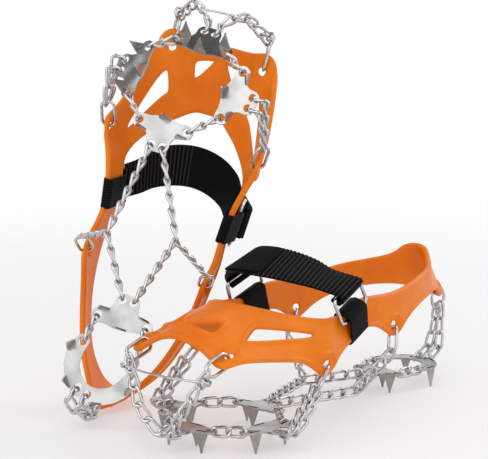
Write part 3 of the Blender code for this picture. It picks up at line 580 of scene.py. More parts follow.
def strand(path, led=False, ups=None):
    """Twisted links along a path as (bow, bow, side at one, side at the other).

    led makes the path's first leg one link, and ups are the directions square to the plates at the two ends.
    """
    e0 = toward(path[0], path[1])
    e1 = toward(path[-2], path[-1])
    inner = [path[0] + e0 * LINK_HOOK] + list(path[1:-1]) + [path[-1] - e1 * LINK_HOOK]
    head = inner[:1] if led else []
    pts = head + walk(inner[len(head):])
    first, last = ups or (UP, UP)
    ref = first
    roll = math.radians(LINK_ROLL)
    out = []
    for i in range(len(pts) - 1):
        p, q = pts[i], pts[i + 1]
        e = toward(p, q)
        if first != last:
            ref = first.lerp(last, i / max(1, len(pts) - 2))
        ref = square_to(e, ref)
        level, cross = ref * math.cos(roll), e.cross(ref) * math.sin(roll)
        reach = e * (LINK_HOOK + LINK_TOUCH)
        out.append((p - reach, q + reach, level + cross, level - cross))
    return out


def place_plate(verts, where):
    """Plate u, v, z to the sole: v points along the turn angle and rises by the tilt."""
    cx, cy, turn, tilt = where
    a = math.radians(turn)
    t = math.radians(tilt)
    u_dir = Vector((math.sin(a), -math.cos(a), 0.0))
    v_dir = Vector((math.cos(a) * math.cos(t), math.sin(a) * math.cos(t), math.sin(t)))
    up = u_dir.cross(v_dir)
    centre = Vector((cx, cy, PLATE_MID))
    return [centre + u_dir * u + v_dir * v + up * (z - PLATE_MID) for u, v, z in verts]


def four_holes(arm, u, v):
    return [(arm, 0.0), (-arm, 0.0), (u, v), (-u, v)]


def three_tooth_outline():
    """Outline of a three-tooth plate, its tooth roots as vertex pairs, and its holes."""
    half = [(5.0, -6.0), (11.0, -4.6), (17.2, -5.0), (21.2, -3.0), (22.2, 0.6), (20.4, 4.2), (18.9, 5.0),
            (10.2, 6.6), (8.7, 10.0), (8.7, 14.6), (6.6, 18.0), (2.0, 18.7)]
    outline = half + [(-u, v) for u, v in reversed(half)]
    n = len(outline)
    teeth = [(n - 1, 0), (6, 7), (n - 8, n - 7)]
    return outline, teeth, four_holes(ARM_HOLE, PAIR_HOLE_U, PAIR_HOLE_V)


def crescent_outline():
    """Outline of the heel rear plate; v runs toward the heel."""
    half = [(3.0, 31.6), (8.6, 30.4), (16.4, 25.6), (22.4, 19.0), (26.0, 11.2), (26.4, 2.2), (25.0, -3.4),
            (20.8, -5.0), (16.6, -3.0), (15.8, 6.0), (13.2, 13.4), (7.6, 18.4), (2.0, 20.4)]
    outline = [(-u, v) for u, v in half] + half[::-1]
    n = len(outline)
    teeth = [(1, 2), (4, 5), (n - 6, n - 5), (n - 3, n - 2)]
    return outline, teeth, four_holes(MOON_ARM_HOLE, MOON_PAIR_U, MOON_PAIR_V)


def rounded_outline(outline):
    """Outline with each corner replaced by a short curve."""
    n = len(outline)
    out = []
    for i in range(n):
        p0, p1, p2 = Vector(outline[i - 1]), Vector(outline[i]), Vector(outline[(i + 1) % n])
        cut_a = min(CORNER_ROUND, (p0 - p1).length * CORNER_SHARE)
        cut_b = min(CORNER_ROUND, (p2 - p1).length * CORNER_SHARE)
        a = p1 + toward(p1, p0) * cut_a
        b = p1 + toward(p1, p2) * cut_b
        for k in range(CORNER_STEPS + 1):
            t = k / CORNER_STEPS
            out.append(a * (1 - t) ** 2 + p1 * 2 * t * (1 - t) + b * t ** 2)
    return out


def flat_plate(outline, holes):
    """Plate with round holes between its two faces."""
    loops = [rounded_outline(outline)]
    for hole in holes:
        loops.append(circle(Vector(hole), Vector((1.0, 0.0)), Vector((0.0, -1.0)), HOLE_R, HOLE_STEPS))
    flat = [p for loop in loops for p in loop]
    n = len(flat)
    verts = [(p.x, p.y, PLATE_TOP) for p in flat] + [(p.x, p.y, TOOTH_HEIGHT) for p in flat]
    faces = []
    base = 0
    for loop in loops:
        for i in range(len(loop)):
            j = (i + 1) % len(loop)
            faces.append((base + i, n + base + i, n + base + j, base + j))
        base += len(loop)
    for a, b, c in tessellate_polygon([[p.to_3d() for p in loop] for loop in loops]):
        faces.append((a, b, c))
        faces.append((n + a, n + c, n + b))
    return verts, faces


def tooth_blades(outline, teeth):
    """Blades bent down from the plate's edge and drawn to a point."""
    parts = []
    for a, b in teeth:
        pa, pb = Vector(outline[a]), Vector(outline[b])
        mid = (pa + pb) / 2
        along = toward(pa, pb)
        inward = Vector((-along.y, along.x))
        half = (pb - pa).length / 2 * TOOTH_ROOT
        verts = []
        for depth, inset, width in TOOTH_ROWS:
            thick = PLATE_THICK * (1.0 - TOOTH_THINNING * depth / PLATE_TOP)
            for side, back in ((-1, 0.0), (1, 0.0), (1, thick), (-1, thick)):
                p = mid + along * (side * half * width) + inward * (inset + back)
                verts.append((p.x, p.y, PLATE_TOP - depth))
        last = len(verts) - 4
        ends = [(3, 2, 1, 0), (last, last + 1, last + 2, last + 3)]
        parts.append((verts, skin(len(TOOTH_ROWS), 4) + ends))
    return merged(parts)


def harness_stations(flare):
    """Half harness from toe centre to heel: lower edge, upper edge, bulge and rows between."""
    k = KEEPER_CENTRE
    up, down = DOWN_DIR * -HARNESS_UP, DOWN_DIR * HARNESS_DOWN
    seat = BAR_DIR * KEEPER_SEAT
    raw = [
        ((0, -124, 75), (0, -75, 91), 5.0, (0.08, 0.15, 0.24, 0.27)),
        ((5, -124, 74.7), (3, -75, 91), 4.6, (0.08, 0.15, 0.24, 0.27)),
        ((13, -123.5, 73.3), (7.5, -75, 90.7), 2.6, (0.08, 0.16, 0.26, 0.47)),
        ((21, -122.5, 70.5), (12, -73, 90), 0.8, (0.08, 0.17, 0.3, 0.56)),
        ((29, -122.5, 66), (17, -69, 88.6), 0.2, (0.1, 0.22, 0.36, 0.57)),
        ((34.5, -123.5, 61.5), (20, -66, 87.5), 0.2, (0.14, 0.25, 0.4, 0.6)),
        ((41, -121.5, 61.5), (24, -62.5, 86.5), 0.4, (0.14, 0.25, 0.43, 0.69)),
        ((45.5, -114, 64.5), (28, -58.5, 84.8), 0.4, (0.08, 0.18, 0.39, 0.68)),
        ((49.5, -96, 62.5), (34, -51.5, 82.5), 0.5, (0.08, 0.2, 0.43, 0.685)),
        ((53, -76, 59.5), (39.5, -44, 80.7), 0.8, (0.1, 0.24, 0.49, 0.67)),
        ((55.5, -58, 56), (43.5, -37, 79.3), 1.2, (0.14, 0.3, 0.545, 0.65)),
        ((57.5, -46.5, 44), (45.5, -31, 78.4), 2.5, (0.11, 0.3, 0.5, 0.6)),
        ((58, -38.5, 43), (46.5, -25, 78), 2.5, (0.11, 0.3, 0.5, 0.6)),
        ((53.5, -27, 52), (45.4, -18, 78), 0.6, (0.2, 0.35, 0.5, 0.65)),
        (k - seat + down, k - seat + up, 0.0, EVEN_ROWS),
        (k + seat + down, k + seat + up, 0.0, EVEN_ROWS),
        ((46.5, 32, 63), (44.8, 27, 84.8), 0.5, EVEN_ROWS),
        ((45.5, 45, 53.5), (43.8, 43, 84), 0.8, (0.14, 0.38, 0.56, 0.78)),
        ((45, 53, 53.5), (43.2, 52, 84), 0.8, (0.14, 0.38, 0.56, 0.78)),
        ((43, 63, 61), (42, 63, 85), 0.8, (0.18, 0.38, 0.56, 0.78)),
        ((40.5, 76, 66.5), (40, 77, 87), 0.8, EVEN_ROWS),
        ((36, 94, 70.5), (36, 92.5, 89.5), 0.8, EVEN_ROWS),
        ((28, 118, 72), (28.5, 114, 91), 0.6, EVEN_ROWS),
        ((16.5, 140 + flare * 0.25, 71 + flare * 0.05), (15.5, 130, 94), 0.4, (0.16, 0.34, 0.6, 0.8)),
        ((9, 155 + flare * 0.6, 65 + flare * 0.2), (11, 133.5, 101), 0.2, (0.12, 0.27, 0.55, 0.8)),
        ((3.5, 169 + flare, 59 + flare * 0.3), (3.5, 136.5, 103), 0.0, (0.09, 0.235, 0.5, 0.8)),
    ]
    return [(Vector(lo), Vector(hi), bulge, rows) for lo, hi, bulge, rows in raw]


def gap_columns(station, columns):
    """Columns that the gap after a station follows, on the plus and the minus side."""
    middle = len(columns) // 2
    return middle + station, middle - station - 1


def harness_sheet(flare):
    """Coarse outer sheet of the harness, with its windows and eyelets left open."""
    stations = harness_stations(flare)
    half = []
    for i, (lo, hi, bulge, rows) in enumerate(stations):
        along = flow(stations, i) if i else X_DIR
        out = (hi - lo).cross(along).normalized()
        if out.dot(Vector((lo.x, lo.y, 0.0)) + OUT_HINT) < 0 and out.z < 0:
            out = -out
        half.append([lo.lerp(hi, v) + out * bulge * 4 * v * (1 - v) for v in (0.0, *rows, 1.0)])
    columns = [mirror(column, -1) for column in reversed(half[1:])] + half
    n = len(columns)
    rows = len(half[0])
    windows = {c for station in WINDOW_STATIONS for c in gap_columns(station, columns)}
    eyelets = {c % n for station in TAB_STATIONS.values() for c in gap_columns(station, columns)}
    faces = []
    corners = []
    for c in range(n):
        d = (c + 1) % n
        for r in range(rows - 1):
            if not (c in windows and r == WINDOW_ROW or c in eyelets and r == EYELET_ROW):
                faces.append((c * rows + r, d * rows + r, d * rows + r + 1, c * rows + r + 1))
        if (c - 1 in windows) != (c in windows):
            corners += [c * rows + WINDOW_ROW, c * rows + WINDOW_ROW + 1]
    return [p for column in columns for p in column], faces, columns, corners


def smoothed(verts, faces, corners):
    """Points, normals and quads of a sheet, subdivided with its window corners kept tight."""
    mesh = bpy.data.meshes.new("sheet")
    mesh.from_pydata(verts, [], faces)
    crease = mesh.attributes.new("crease_vert", "FLOAT", "POINT")
    for i in corners:
        crease.data[i].value = CORNER_CREASE
    obj = add_object("sheet", mesh)
    mod = obj.modifiers.new("smooth", "SUBSURF")
    mod.levels = SMOOTH_LEVELS
    bpy.context.view_layer.update()
    fine = bpy.data.meshes.new_from_object(obj.evaluated_get(bpy.context.evaluated_depsgraph_get()))
    points = [v.co.copy() for v in fine.vertices]
    normals = [v.normal.copy() for v in fine.vertices]
    quads = [tuple(p.vertices) for p in fine.polygons]
    bpy.data.objects.remove(obj)
    bpy.data.meshes.remove(mesh)
    bpy.data.meshes.remove(fine)
    return points, normals, quads


def smooth_step(x):
    x = min(max(x, 0.0), 1.0)
    return x * x * (3 - 2 * x)


def harness_solid(flare):
    """Moulded harness: smooth sheet with thickness, raised rims and rounded edges."""
    verts, faces, columns, corners = harness_sheet(flare)
    points, normals, quads = smoothed(verts, faces, corners)
    tabs = harness_tabs(columns)
    edges = dict.fromkeys((f[i], f[(i + 1) % 4]) for f in quads for i in range(4))
    borders = [(a, b) for a, b in edges if (b, a) not in edges]
    tree = kdtree.KDTree(len(borders) * 2)
    for i, (a, b) in enumerate(borders):
        tree.insert(points[a], i * 2)
        tree.insert((points[a] + points[b]) / 2, i * 2 + 1)
    tree.balance()
    count = len(points)
    outer = []
    inner = []
    for p, m in zip(points, normals):
        d = tree.find(p)[2]
        rim = RIM_HEIGHT * (1 - smooth_step((d / RIM_WIDTH - RIM_CREST) / RIM_FALL))
        near = min((p - centre).length for centre, _, _ in tabs.values())
        rim *= smooth_step((near - LAND_R) / LAND_R)
        drop = EDGE_DROP * (1 - min(1.0, d / EDGE_WIDTH)) ** 2
        outer.append(p + m * (max(rim, boss_height(p, tabs)) - drop * OUTER_DROP))
        inner.append(p - m * (HARNESS_THICK - drop))
    away = {}
    for a, b in borders:
        along = toward(points[a], points[b])
        for i in (a, b):
            away[i] = away.get(i, Vector()) + along.cross(normals[i])
    ring = {}
    middle = []
    for i, direction in away.items():
        ring[i] = count * 2 + len(middle)
        middle.append(points[i] + direction.normalized() * EDGE_OUT - normals[i] * HARNESS_THICK / 2)
    solid = quads + [tuple(i + count for i in reversed(f)) for f in quads]
    for a, b in borders:
        solid.append((b, a, ring[a], ring[b]))
        solid.append((ring[b], ring[a], a + count, b + count))
    return outer + inner + middle, solid, tabs


def boss_height(p, tabs):
    """Raised U round each eyelet, open toward the tab's lower edge."""
    height = 0.0
    for centre, _, down in tabs.values():
        reach = p - centre
        if reach.length < BOSS_R * 2:
            ridge = math.exp(-((reach.length - BOSS_R) / BOSS_WIDTH) ** 2)
            height = max(height, BOSS_HEIGHT * ridge * smooth_step(BOSS_OPEN - reach.dot(down) / BOSS_R))
    return height


def harness_tabs(columns):
    """Centre, outward and downward direction of each eyelet by name and side; the heel has one for both."""
    tabs = {}
    for key, station in TAB_STATIONS.items():
        for sign, c in zip((1, -1), gap_columns(station, columns)):
            low_a, high_a = columns[c][EYELET_ROW:EYELET_ROW + 2]
            low_b, high_b = columns[(c + 1) % len(columns)][EYELET_ROW:EYELET_ROW + 2]
            centre = (low_a + low_b + high_b + high_a) / 4
            out = (high_b - low_a).cross(high_a - low_b).normalized()
            down = ((low_a + low_b) / 2 - centre).normalized()
            tabs[key, sign] = centre - out * HARNESS_THICK / 2, out, down
    return tabs


def tab_link(tab, end):
    """Long link from an eyelet to the end of its chain."""
    centre, out, down = tab
    top = centre + down * EYELET_SEAT
    e = toward(top, end)
    flat = square_to(e, out)
    turn = math.radians(TAB_LINK_TURN)
    s = flat * math.cos(turn) + e.cross(flat) * math.sin(turn)
    return (top, end + e * LINK_TOUCH, s, s, TAB_LINK_HALF, TAB_WIRE)


def strap_line(lift):
    """Edge points and outward direction of the strap over the instep, lifted off its face."""
    half = [((40.0, -31.0, 98.0), (34.5, -6.5, 106.5)), ((31.5, -42.0, 102.0), (26.5, -15.0, 113.5)),
            ((17.5, -50.0, 105.0), (14.0, -21.5, 118.3)), ((0.0, -53.0, 106.0), (0.0, -24.0, 119.8))]
    half = [[Vector(p) for p in pair] for pair in half]
    stations = half + [mirror(pair, -1) for pair in half[-2::-1]]
    out = []
    for i, (front, rear) in enumerate(stations):
        normal = flow(stations, i).cross(front - rear).normalized()
        out.append((front + normal * lift, rear + normal * lift, normal))
    return out


def hook_stations(sign, lift=0.0):
    """The strap's end round the ring bar: from outside, below the bar, to the inside."""
    half = BAR_DIR * HOOK_HALF
    stations = []
    for angle in HOOK_ANGLES:
        a = math.radians(angle)
        out = FLANK_OUT * math.cos(a) - DOWN_DIR * math.sin(a)
        centre = UPPER_BAR + out * (HOOK_INNER + STRAP_THICK + lift)
        stations.append((centre - half, centre + half, out))
    return [tuple(mirror(station, sign)) for station in stations]


def tape(stations, steps, thick, ribs=None):
    """Woven tape through stations of front edge, rear edge and outward direction, with rounded edges.

    ribs maps a point's x to the part of full rib height there. Returns points, faces and the length and
    width place of every point in metres.
    """
    fronts, rears, outs = ([s[k] for s in stations] for k in range(3))
    verts = []
    places = []
    length = 0.0
    last = None
    n = len(TAPE_SECTION)
    for i in range(steps + 1):
        t = i / steps
        front, rear = curve_at(fronts, t), curve_at(rears, t)
        out = curve_at(outs, t).normalized()
        mid = (front + rear) / 2
        length += (mid - last).length if last is not None else 0.0
        last = mid
        rise = 0.0
        if ribs is not None:
            rise = ribs(mid.x) * RIB_HEIGHT * abs(math.sin(math.pi * length / RIB_PITCH)) ** RIB_ROUND
        for w, depth in TAPE_SECTION:
            lift = rise if depth < FACE_DEPTH else 0.0
            verts.append(front.lerp(rear, w) - out * (depth * thick - lift))
            places.append((length * MM, w * (rear - front).length * MM))
    faces = [(a, d, c, b) for a, b, c, d in skin(steps + 1, n)]
    faces.append(tuple(range(n)))
    faces.append(tuple(reversed(range(steps * n, steps * n + n))))
    return verts, faces, places


def ring_path(sign):
    """Rounded rectangle of the strap ring's wire."""
    r = STRAP_RING_ROUND
    a = STRAP_RING_LONG / 2 - r
    b = STRAP_RING_SHORT / 2 - r
    path = []
    for corner, (u, v) in enumerate(((a, b), (-a, b), (-a, -b), (a, -b))):
        for k in range(QUARTER_STEPS + 1):
            t = math.pi / 2 * (corner + k / QUARTER_STEPS)
            path.append(RING_CENTRE + BAR_DIR * (u + r * math.cos(t)) + DOWN_DIR * (v + r * math.sin(t)))
    return mirror(path, sign)


def keeper_stations(sign):
    """Loop of webbing over the ring's lower bar and round the harness, as closed tape stations."""
    lap = KEEPER_LAP + KEEPER_THICK
    r = STRAP_RING_WIRE / 2 + KEEPER_PLAY + KEEPER_THICK
    inside = -HARNESS_THICK - lap
    top, foot = -HARNESS_UP, HARNESS_DOWN
    bar_out, bar_down = KEEPER_INSET, -KEEPER_BELOW
    loop = [(bar_out + r, bar_down), (bar_out + r * 0.6, bar_down - r * 0.85), (lap * 0.5, top - lap * 0.95),
            (-HARNESS_THICK * 0.6, top - lap), (inside, top - lap * 0.4), (inside, -3.0), (inside, 4.0),
            (inside, foot + lap * 0.3), (-HARNESS_THICK * 0.5, foot + lap), (lap * 0.9, foot + lap * 0.4),
            (lap + 1.4, 7.0), (lap + 3.5, bar_down + r + 4.0), (bar_out + r * 0.85, bar_down + r * 0.75)]
    half = BAR_DIR * KEEPER_WIDTH / 2
    stations = []
    for i, (n, d) in enumerate(loop):
        before, after = Vector(loop[i - 1]), Vector(loop[(i + 1) % len(loop)])
        along = toward(before, after)
        out = FLANK_OUT * -along.y + DOWN_DIR * along.x
        centre = KEEPER_CENTRE + FLANK_OUT * n + DOWN_DIR * d
        outward = out if out.dot(centre - (KEEPER_CENTRE - FLANK_OUT)) > 0 else -out
        stations.append(tuple(mirror((centre - half, centre + half, outward), sign)))
    return stations + [stations[0]]


class Cleat:
    """One cleat's visible pieces, made in its own frame and set in the row frame."""

    def __init__(self, name, layout, junctions, hand, flare, place):
        self.name = name
        self.layout = layout
        self.junctions = junctions
        self.hand = hand
        self.flare = flare
        self.place = place
        self.root = name + "_cleat"
        self.toe_links = {}

    def side(self, sign):
        return "outer" if sign == self.hand else "inner"

    def piece(self, name, solid, slot="chain_steel", material=CHAIN_STEEL, body=None, bend=None):
        """Visible piece that stands for the CAD node of the same name; given bend, two points, it is baked
        into the row frame instead of put on a body.
        """
        verts, faces, *places = solid
        node = self.name + "_" + name
        mesh = bpy.data.meshes.new(node + "_look")
        mesh.from_pydata([self.place @ (Vector(v) * MM) for v in verts], [], faces)
        obj = add_object(node + "_look", mesh)
        shape = bmesh.new()
        shape.from_mesh(mesh)
        bmesh.ops.recalc_face_normals(shape, faces=shape.faces)
        shape.to_mesh(mesh)
        shape.free()
        mesh.shade_smooth()
        mesh.materials.append(material)
        if places:
            layer = mesh.uv_layers.new(name="UVMap")
            for loop in mesh.loops:
                layer.data[loop.index].uv = places[0][loop.vertex_index]
        if bend is None:
            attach(obj, body or self.root)
        else:
            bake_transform(obj)
        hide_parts(node)
        return obj

    def moving(self, name, solid, *finish):
        """Piece on a body of its own name."""
        return self.piece(name, solid, *finish, body=self.name + "_" + name)

    def spot(self, plate, u, v):
        """Point of a plate, halfway through its thickness."""
        return place_plate([(u, v, PLATE_MID)], self.layout[plate])[0]

    def up(self, plate):
        """Direction square to a plate, away from its teeth."""
        foot, top = place_plate([(0.0, 0.0, 0.0), (0.0, 0.0, 1.0)], self.layout[plate])
        return top - foot

    def hole(self, plate, u, v, pull):
        """Wire centre of a link's bow seated in a plate hole, toward the pull."""
        p = self.spot(plate, u, v)
        up = self.up(plate)
        d = toward(p, pull)
        return p + square_to(up, d) * SEAT_IN_HOLE - up * (d.dot(up) * RIM_REACH)

    def lead(self, plate, u):
        """Seat in a pair hole, and the point straight out from it where the chain turns up."""
        v = MOON_PAIR_V if plate == "heel_rear" else PAIR_HOLE_V
        far = self.spot(plate, u * LEAD_SPLAY, v + SEAT_IN_HOLE + LINK_HOOK + FIRST_CHORD)
        return self.hole(plate, u, v, far), far + self.up(plate) * LEAD_RISE

    def u_dir(self, plate):
        return self.spot(plate, 1.0, 0.0) - self.spot(plate, 0.0, 0.0)

    def near_u(self, plate, sign):
        """Sign of u that lies on the wanted side of the plate."""
        return 1.0 if self.u_dir(plate).x * sign > 0 else -1.0

    def front_u(self, plate):
        """Sign of u that lies toward the toe."""
        return 1.0 if self.u_dir(plate).y < 0 else -1.0

    def build(self):
        verts, faces, self.tabs = harness_solid(self.flare)
        self.piece("harness", (verts, faces), "orange_elastomer", ELASTOMER)
        self.plates()
        for sign in (1, -1):
            self.plate_chains(sign)
            self.toe_chain(sign)
            self.side_chain(sign)
            self.mid_chain(sign)
            self.ring_and_keeper(sign)
        self.toe_wire()
        self.heel_tab()
        self.strap()

    def plates(self):
        names = {key: key + "_plate" for key in ("toe", "arch", "heel_front", "heel_rear")}
        names.update({("ball", sign): "ball_plate_" + self.side(sign) for sign in (1, -1)})
        for key, name in names.items():
            outline, teeth, holes = crescent_outline() if key == "heel_rear" else three_tooth_outline()
            flat = flat_plate(outline, holes)
            verts, faces = merged([flat, tooth_blades(outline, teeth)])
            solid = place_plate(verts, self.layout[key]), faces
            obj = self.moving(name, solid, "plate_steel", PLATE_STEEL)
            obj.data.shade_flat()
            obj.data.materials.append(TOOTH_STEEL)
            for polygon in obj.data.polygons[len(flat[1]):]:
                polygon.material_index = 1
            bevel = obj.modifiers.new("edges", "BEVEL")
            bevel.width = PLATE_BEVEL * MM
            bevel.segments = 2
            bevel.limit_method = "ANGLE"
            bevel.angle_limit = math.radians(BEVEL_ANGLE)

    def chain(self, name, links, moves=False):
        make = self.moving if moves else self.piece
        make(name, merged([round_link(*link) for link in links]))

    def sway_chain(self, name, plate_a, ua, plate_b, ub):
        """Chain between two plates' arm holes."""
        a = self.spot(plate_a, ua, 0.0)
        b = self.spot(plate_b, ub, 0.0)
        seats = [self.hole(plate_a, ua, 0.0, b), self.hole(plate_b, ub, 0.0, a)]
        self.chain(name, strand(seats, ups=(self.up(plate_a), self.up(plate_b))), True)

    def plate_chains(self, sign):
        side = self.side(sign)
        ball = ("ball", sign)
        front = self.front_u(ball) * ARM_HOLE
        toe, arch, heel = (self.near_u(key, sign) * ARM_HOLE for key in ("toe", "arch", "heel_front"))
        moon = self.near_u("heel_rear", sign) * MOON_ARM_HOLE
        self.sway_chain("front_chain_" + side, "toe", toe, ball, front)
        self.sway_chain("ball_chain_" + side, ball, -front, "arch", arch)
        self.sway_chain("heel_chain_" + side, "heel_front", heel, "heel_rear", moon)

    def toe_chain(self, sign):
        end, bend = mirror([TOE_LINK_END, TOE_CHAIN_BEND], sign)
        start, lead = self.lead("toe", self.near_u("toe", sign) * PAIR_HOLE_U)
        hook = toward(bend, end) * LINK_HOOK
        links = strand([start, lead, bend, end + hook], led=True, ups=[self.up("toe")] * 2)
        self.toe_links[sign] = links
        self.chain("toe_chain_" + self.side(sign), links + [tab_link(self.tabs["toe", sign], end - hook)])

    def side_chain(self, sign):
        ball = ("ball", sign)
        end = mirror([BALL_LINK_END], sign)[0]
        links = []
        for k in (1, -1):
            start, lead = self.lead(ball, k * PAIR_HOLE_U)
            tip = end + SIDE_SPREAD * (k * self.front_u(ball))
            e = toward(lead, tip)
            links += strand([start, lead, tip + e * LINK_HOOK], led=True, ups=[self.up(ball)] * 2)
        links.append(tab_link(self.tabs["ball", sign], end - toward(lead, end) * LINK_HOOK))
        self.chain("side_chain_" + self.side(sign), links)

    def mid_chain(self, sign):
        """Y of chain: arch plate and heel front plate to a junction, and from there up to the rear tab."""
        junction = Vector((*self.junctions[sign], PLATE_MID))
        end = mirror([REAR_LINK_END], sign)[0]
        links = []
        for plate, shift in (("arch", Vector()), ("heel_front", JUNCTION_SET)):
            seat = self.hole(plate, self.near_u(plate, sign) * PAIR_HOLE_U, PAIR_HOLE_V, junction)
            links += strand([seat, junction + toward(seat, junction) * LINK_HOOK - shift])
        e = toward(junction, end)
        links += strand([junction - e * LINK_HOOK + JUNCTION_SET, end + e * LINK_HOOK])
        links.append(tab_link(self.tabs["rear", sign], end - e * LINK_HOOK))
        self.chain("mid_chain_" + self.side(sign), links)

    def toe_wire(self):
        """Wire across the toe with an eye round a leg of each toe chain's top link."""
        eyes = []
        spots = []
        for sign in (1, -1):
            a, b, s0, s1 = self.toe_links[sign][-1]
            e = toward(a, b)
            s = square_to(e, s0 + s1)
            front = s if s.y < 0 else -s
            centre = (a + b) / 2 + front * LINK_HALF
            spots.append(centre)
            other = e.cross(front).normalized()
            for rise in (-EYE_RISE, EYE_RISE):
                path = circle(centre + e * rise, front, other, TOE_EYE_R, EYE_STEPS)
                eyes.append(round_tube(path, [e] * EYE_STEPS, TOE_WIRE_R, True, TOE_WIRE_SIDES))
        a, b = spots
        span = toward(a, b)
        start = a + (BOW_DIR * EYE_LEAVE + span * EYE_ACROSS).normalized() * TOE_EYE_R
        stop = b + (BOW_DIR * EYE_LEAVE - span * EYE_ACROSS).normalized() * TOE_EYE_R
        steps = [k / ROD_STEPS for k in range(ROD_STEPS + 1)]
        path = [start.lerp(stop, t) + BOW_DIR * TOE_BOW * 4 * t * (1 - t) for t in steps]
        rod = round_tube(path, [UP] * len(path), TOE_WIRE_R, False, TOE_WIRE_SIDES)
        self.moving("toe_wire", merged([rod] + eyes))

    def heel_tab(self):
        """Round ring in the heel eyelet and the two strands of chain that hang in it."""
        centre, _, down = self.tabs["heel", 1]
        top = centre + down * EYELET_SEAT
        fall = (RING_FALL + RING_FLARE * self.flare).normalized()
        middle = top + fall * RING_R
        other = X_DIR.cross(fall).normalized()
        path = circle(middle, fall, other, RING_R, RING_STEPS)
        ring = round_tube(path, [X_DIR] * RING_STEPS, TAB_WIRE / 2, True)
        self.moving("heel_ring", ring)
        seat_r = RING_R - TAB_WIRE / 2 - WIRE / 2 - RING_PLAY
        strands = []
        for k in (1, -1):
            t = math.radians(STRAND_SPLAY * k)
            seat = middle + (fall * math.cos(t) + other * math.sin(t)) * seat_r
            bend = Vector((self.layout["heel_rear"][0] * HEEL_BEND_FOLLOW + k * HEEL_CHAIN_BEND.x,
                           HEEL_CHAIN_BEND.y + self.flare * HEEL_BEND_FLARE, HEEL_CHAIN_BEND.z))
            start, lead = self.lead("heel_rear", self.near_u("heel_rear", k) * MOON_PAIR_U)
            links = strand([start, lead, bend, seat], led=True)
            e = toward(*links[-1][:2])
            for i in range(1, len(links)):
                s = X_DIR if (len(links) - i) % 2 else e.cross(X_DIR)
                links[i] = (*links[i][:2], s, s)
            strands += links
        self.chain("heel_tab_chain", strands)

    def strap(self):
        stations = hook_stations(1.0)[::-1] + strap_line(0.0) + hook_stations(-1.0)
        hand = self.hand

        def ribs(x):
            begun = smooth_step((x * hand - RIB_FROM) / RIB_FADE_IN)
            return begun * (1 - smooth_step((x * hand - RIB_TO) / RIB_FADE_OUT))

        strap = tape(stations, STRAP_STEPS, STRAP_THICK, ribs)
        obj = self.piece("instep_strap", strap, "black_webbing", STRAP_TAPE)
        # Second slot: the ribbed tape, whose light rib crests are a painted highlight
        obj.data.materials.append(RIBBED_TAPE_PAINTED_HIGHLIGHT)
        for polygon in obj.data.polygons:
            polygon.material_index = 1 if ribs(strap[0][polygon.vertices[0]].x) > 0.5 else 0
        sign = -hand
        lifted = strap_line(FLAP_GAP + FLAP_THICK)
        mid = len(lifted) // 2
        end = tuple(a.lerp(b, FLAP_END) for a, b in zip(lifted[mid], lifted[mid + sign]))
        turn = hook_stations(sign, FLAP_GAP + FLAP_THICK)[:FLAP_HOOKS]
        if sign < 0:
            kept = [end] + lifted[mid:] + turn
            last = lifted[-1]
        else:
            kept = turn[::-1] + lifted[:mid + 1] + [end]
            last = lifted[0]
        narrow = [(f.lerp(r, FLAP_INSET), r.lerp(f, FLAP_INSET), out.normalized()) for f, r, out in kept]
        flap = tape(narrow, FLAP_STEPS, FLAP_THICK)
        bar = mirror([UPPER_BAR], sign)[0]
        bend = (bar, bar.lerp((last[0] + last[1]) / 2, FLAP_BEND))
        body = self.name + "_strap_flap"
        self.piece("strap_flap", flap, "black_webbing", STRAP_TAPE, body, bend)

    def ring_and_keeper(self, sign):
        side = self.side(sign)
        path = ring_path(sign)
        normal = mirror([FLANK_OUT], sign)[0]
        wire = round_tube(path, [normal] * len(path), STRAP_RING_WIRE / 2, True, STRAP_RING_SIDES)
        self.moving("strap_ring_" + side, wire)
        keeper = tape(keeper_stations(sign), KEEPER_STEPS, KEEPER_THICK)
        self.piece("keeper_" + side, keeper, "black_webbing", KEEPER_TAPE)


def aim(obj, at, target):
    obj.location = at
    obj.rotation_euler = (Vector(target) - Vector(at)).to_track_quat("-Z", "Y").to_euler()


def area_light(name, at, size, power):
    light = bpy.data.lights.new(name, "AREA")
    light.shape = "DISK"
    light.size = size
    light.energy = power
    aim(add_object(name, light), at, AIM)


def panel(name, wide, high, material):
    """Flat rectangle round the origin."""
    w, h = wide / 2, high / 2
    mesh = bpy.data.meshes.new(name)
    mesh.from_pydata([(-w, -h, 0.0), (w, -h, 0.0), (w, h, 0.0), (-w, h, 0.0)], [], [(0, 1, 2, 3)])
    mesh.materials.append(material)
    return add_object(name, mesh)


def pale_world():
    """White to the eye and in reflections, and a weaker even light on the object."""
    world = bpy.data.worlds.new("studio")
    bpy.context.scene.world = world
    world.use_nodes = True
    tree = world.node_tree
    path = tree.nodes.new("ShaderNodeLightPath")
    seen = path.outputs["Is Camera Ray"]
    for other in ("Is Glossy Ray", "Is Transmission Ray"):
        seen = combine(tree, "MAXIMUM", seen, path.outputs[other])
    strength = spread(tree, seen, WORLD_LIGHT, 1.0)
    dress(tree, tree.nodes["Background"], {"Color": WHITE}, {"Strength": strength})


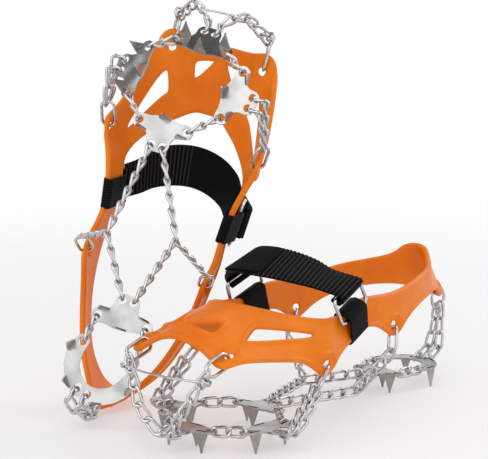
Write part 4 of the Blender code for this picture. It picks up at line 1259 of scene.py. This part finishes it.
def pale_floor():
    """Wide white floor that takes the object's shadow and runs into the white far away."""
    mat, tree, shader = new_material("floor_white")
    dress(tree, shader, {"Base Color": FLOOR_WHITE, "Roughness": FLOOR_ROUGH})
    glow = add_node(tree, "ShaderNodeEmission", {"Color": WHITE})
    distance = add_node(tree, "ShaderNodeVectorMath", sources={0: coordinates(tree)})
    distance.operation = "LENGTH"
    values = {"From Min": FLOOR_FADE[0], "From Max": FLOOR_FADE[1], "To Min": FLOOR_GLOW}
    fade = add_node(tree, "ShaderNodeMapRange", values, {"Value": distance.outputs["Value"]})
    fade.interpolation_type = "SMOOTHSTEP"
    sources = {0: fade.outputs["Result"], 1: shader.outputs["BSDF"], 2: glow.outputs["Emission"]}
    mix = add_node(tree, "ShaderNodeMixShader", sources=sources)
    dress(tree, tree.nodes["Material Output"], sources={"Surface": mix.outputs["Shader"]})
    floor = panel("floor", FLOOR_SIZE, FLOOR_SIZE, mat)


def dark_card(name, at, target, wide, high):
    """Dark studio card that only reflections see."""
    mat, tree, shader = new_material(name)
    dress(tree, shader, {"Base Color": CARD_DARK, "Roughness": 1.0})
    card = panel(name, wide, high, mat)
    aim(card, at, target)
    card.visible_camera = False
    card.visible_diffuse = False
    card.visible_shadow = False


def set_camera(place):
    data = bpy.data.cameras.new("camera")
    data.lens = CAMERA_LENS
    data.sensor_width = CAMERA_SENSOR
    camera = add_object("camera", data)
    camera.location = place @ (CAMERA_AT * MM)
    camera.rotation_euler = (math.radians(90.0 - CAMERA_ELEVATION), 0.0, math.radians(CAMERA_AZIMUTH))
    bpy.context.scene.camera = camera


left_place = Matrix.Translation(Vector(LEFT_PLACE) * MM)
right_place = Matrix.Translation(Vector(RIGHT_PLACE) * MM) @ RIGHT_TURN.to_matrix().to_4x4()
Cleat("left", LEFT_PLATES, LEFT_JUNCTIONS, 1, LEFT_FLARE, left_place).build()
Cleat("right", RIGHT_PLATES, RIGHT_JUNCTIONS, -1, RIGHT_FLARE, right_place).build()

pale_world()
pale_floor()
for name, lamp in LAMPS.items():
    area_light(name, *lamp)
for name, card in CARDS.items():
    dark_card(name, *card)
set_camera(left_place)
bpy.context.scene.view_settings.view_transform = "Standard"
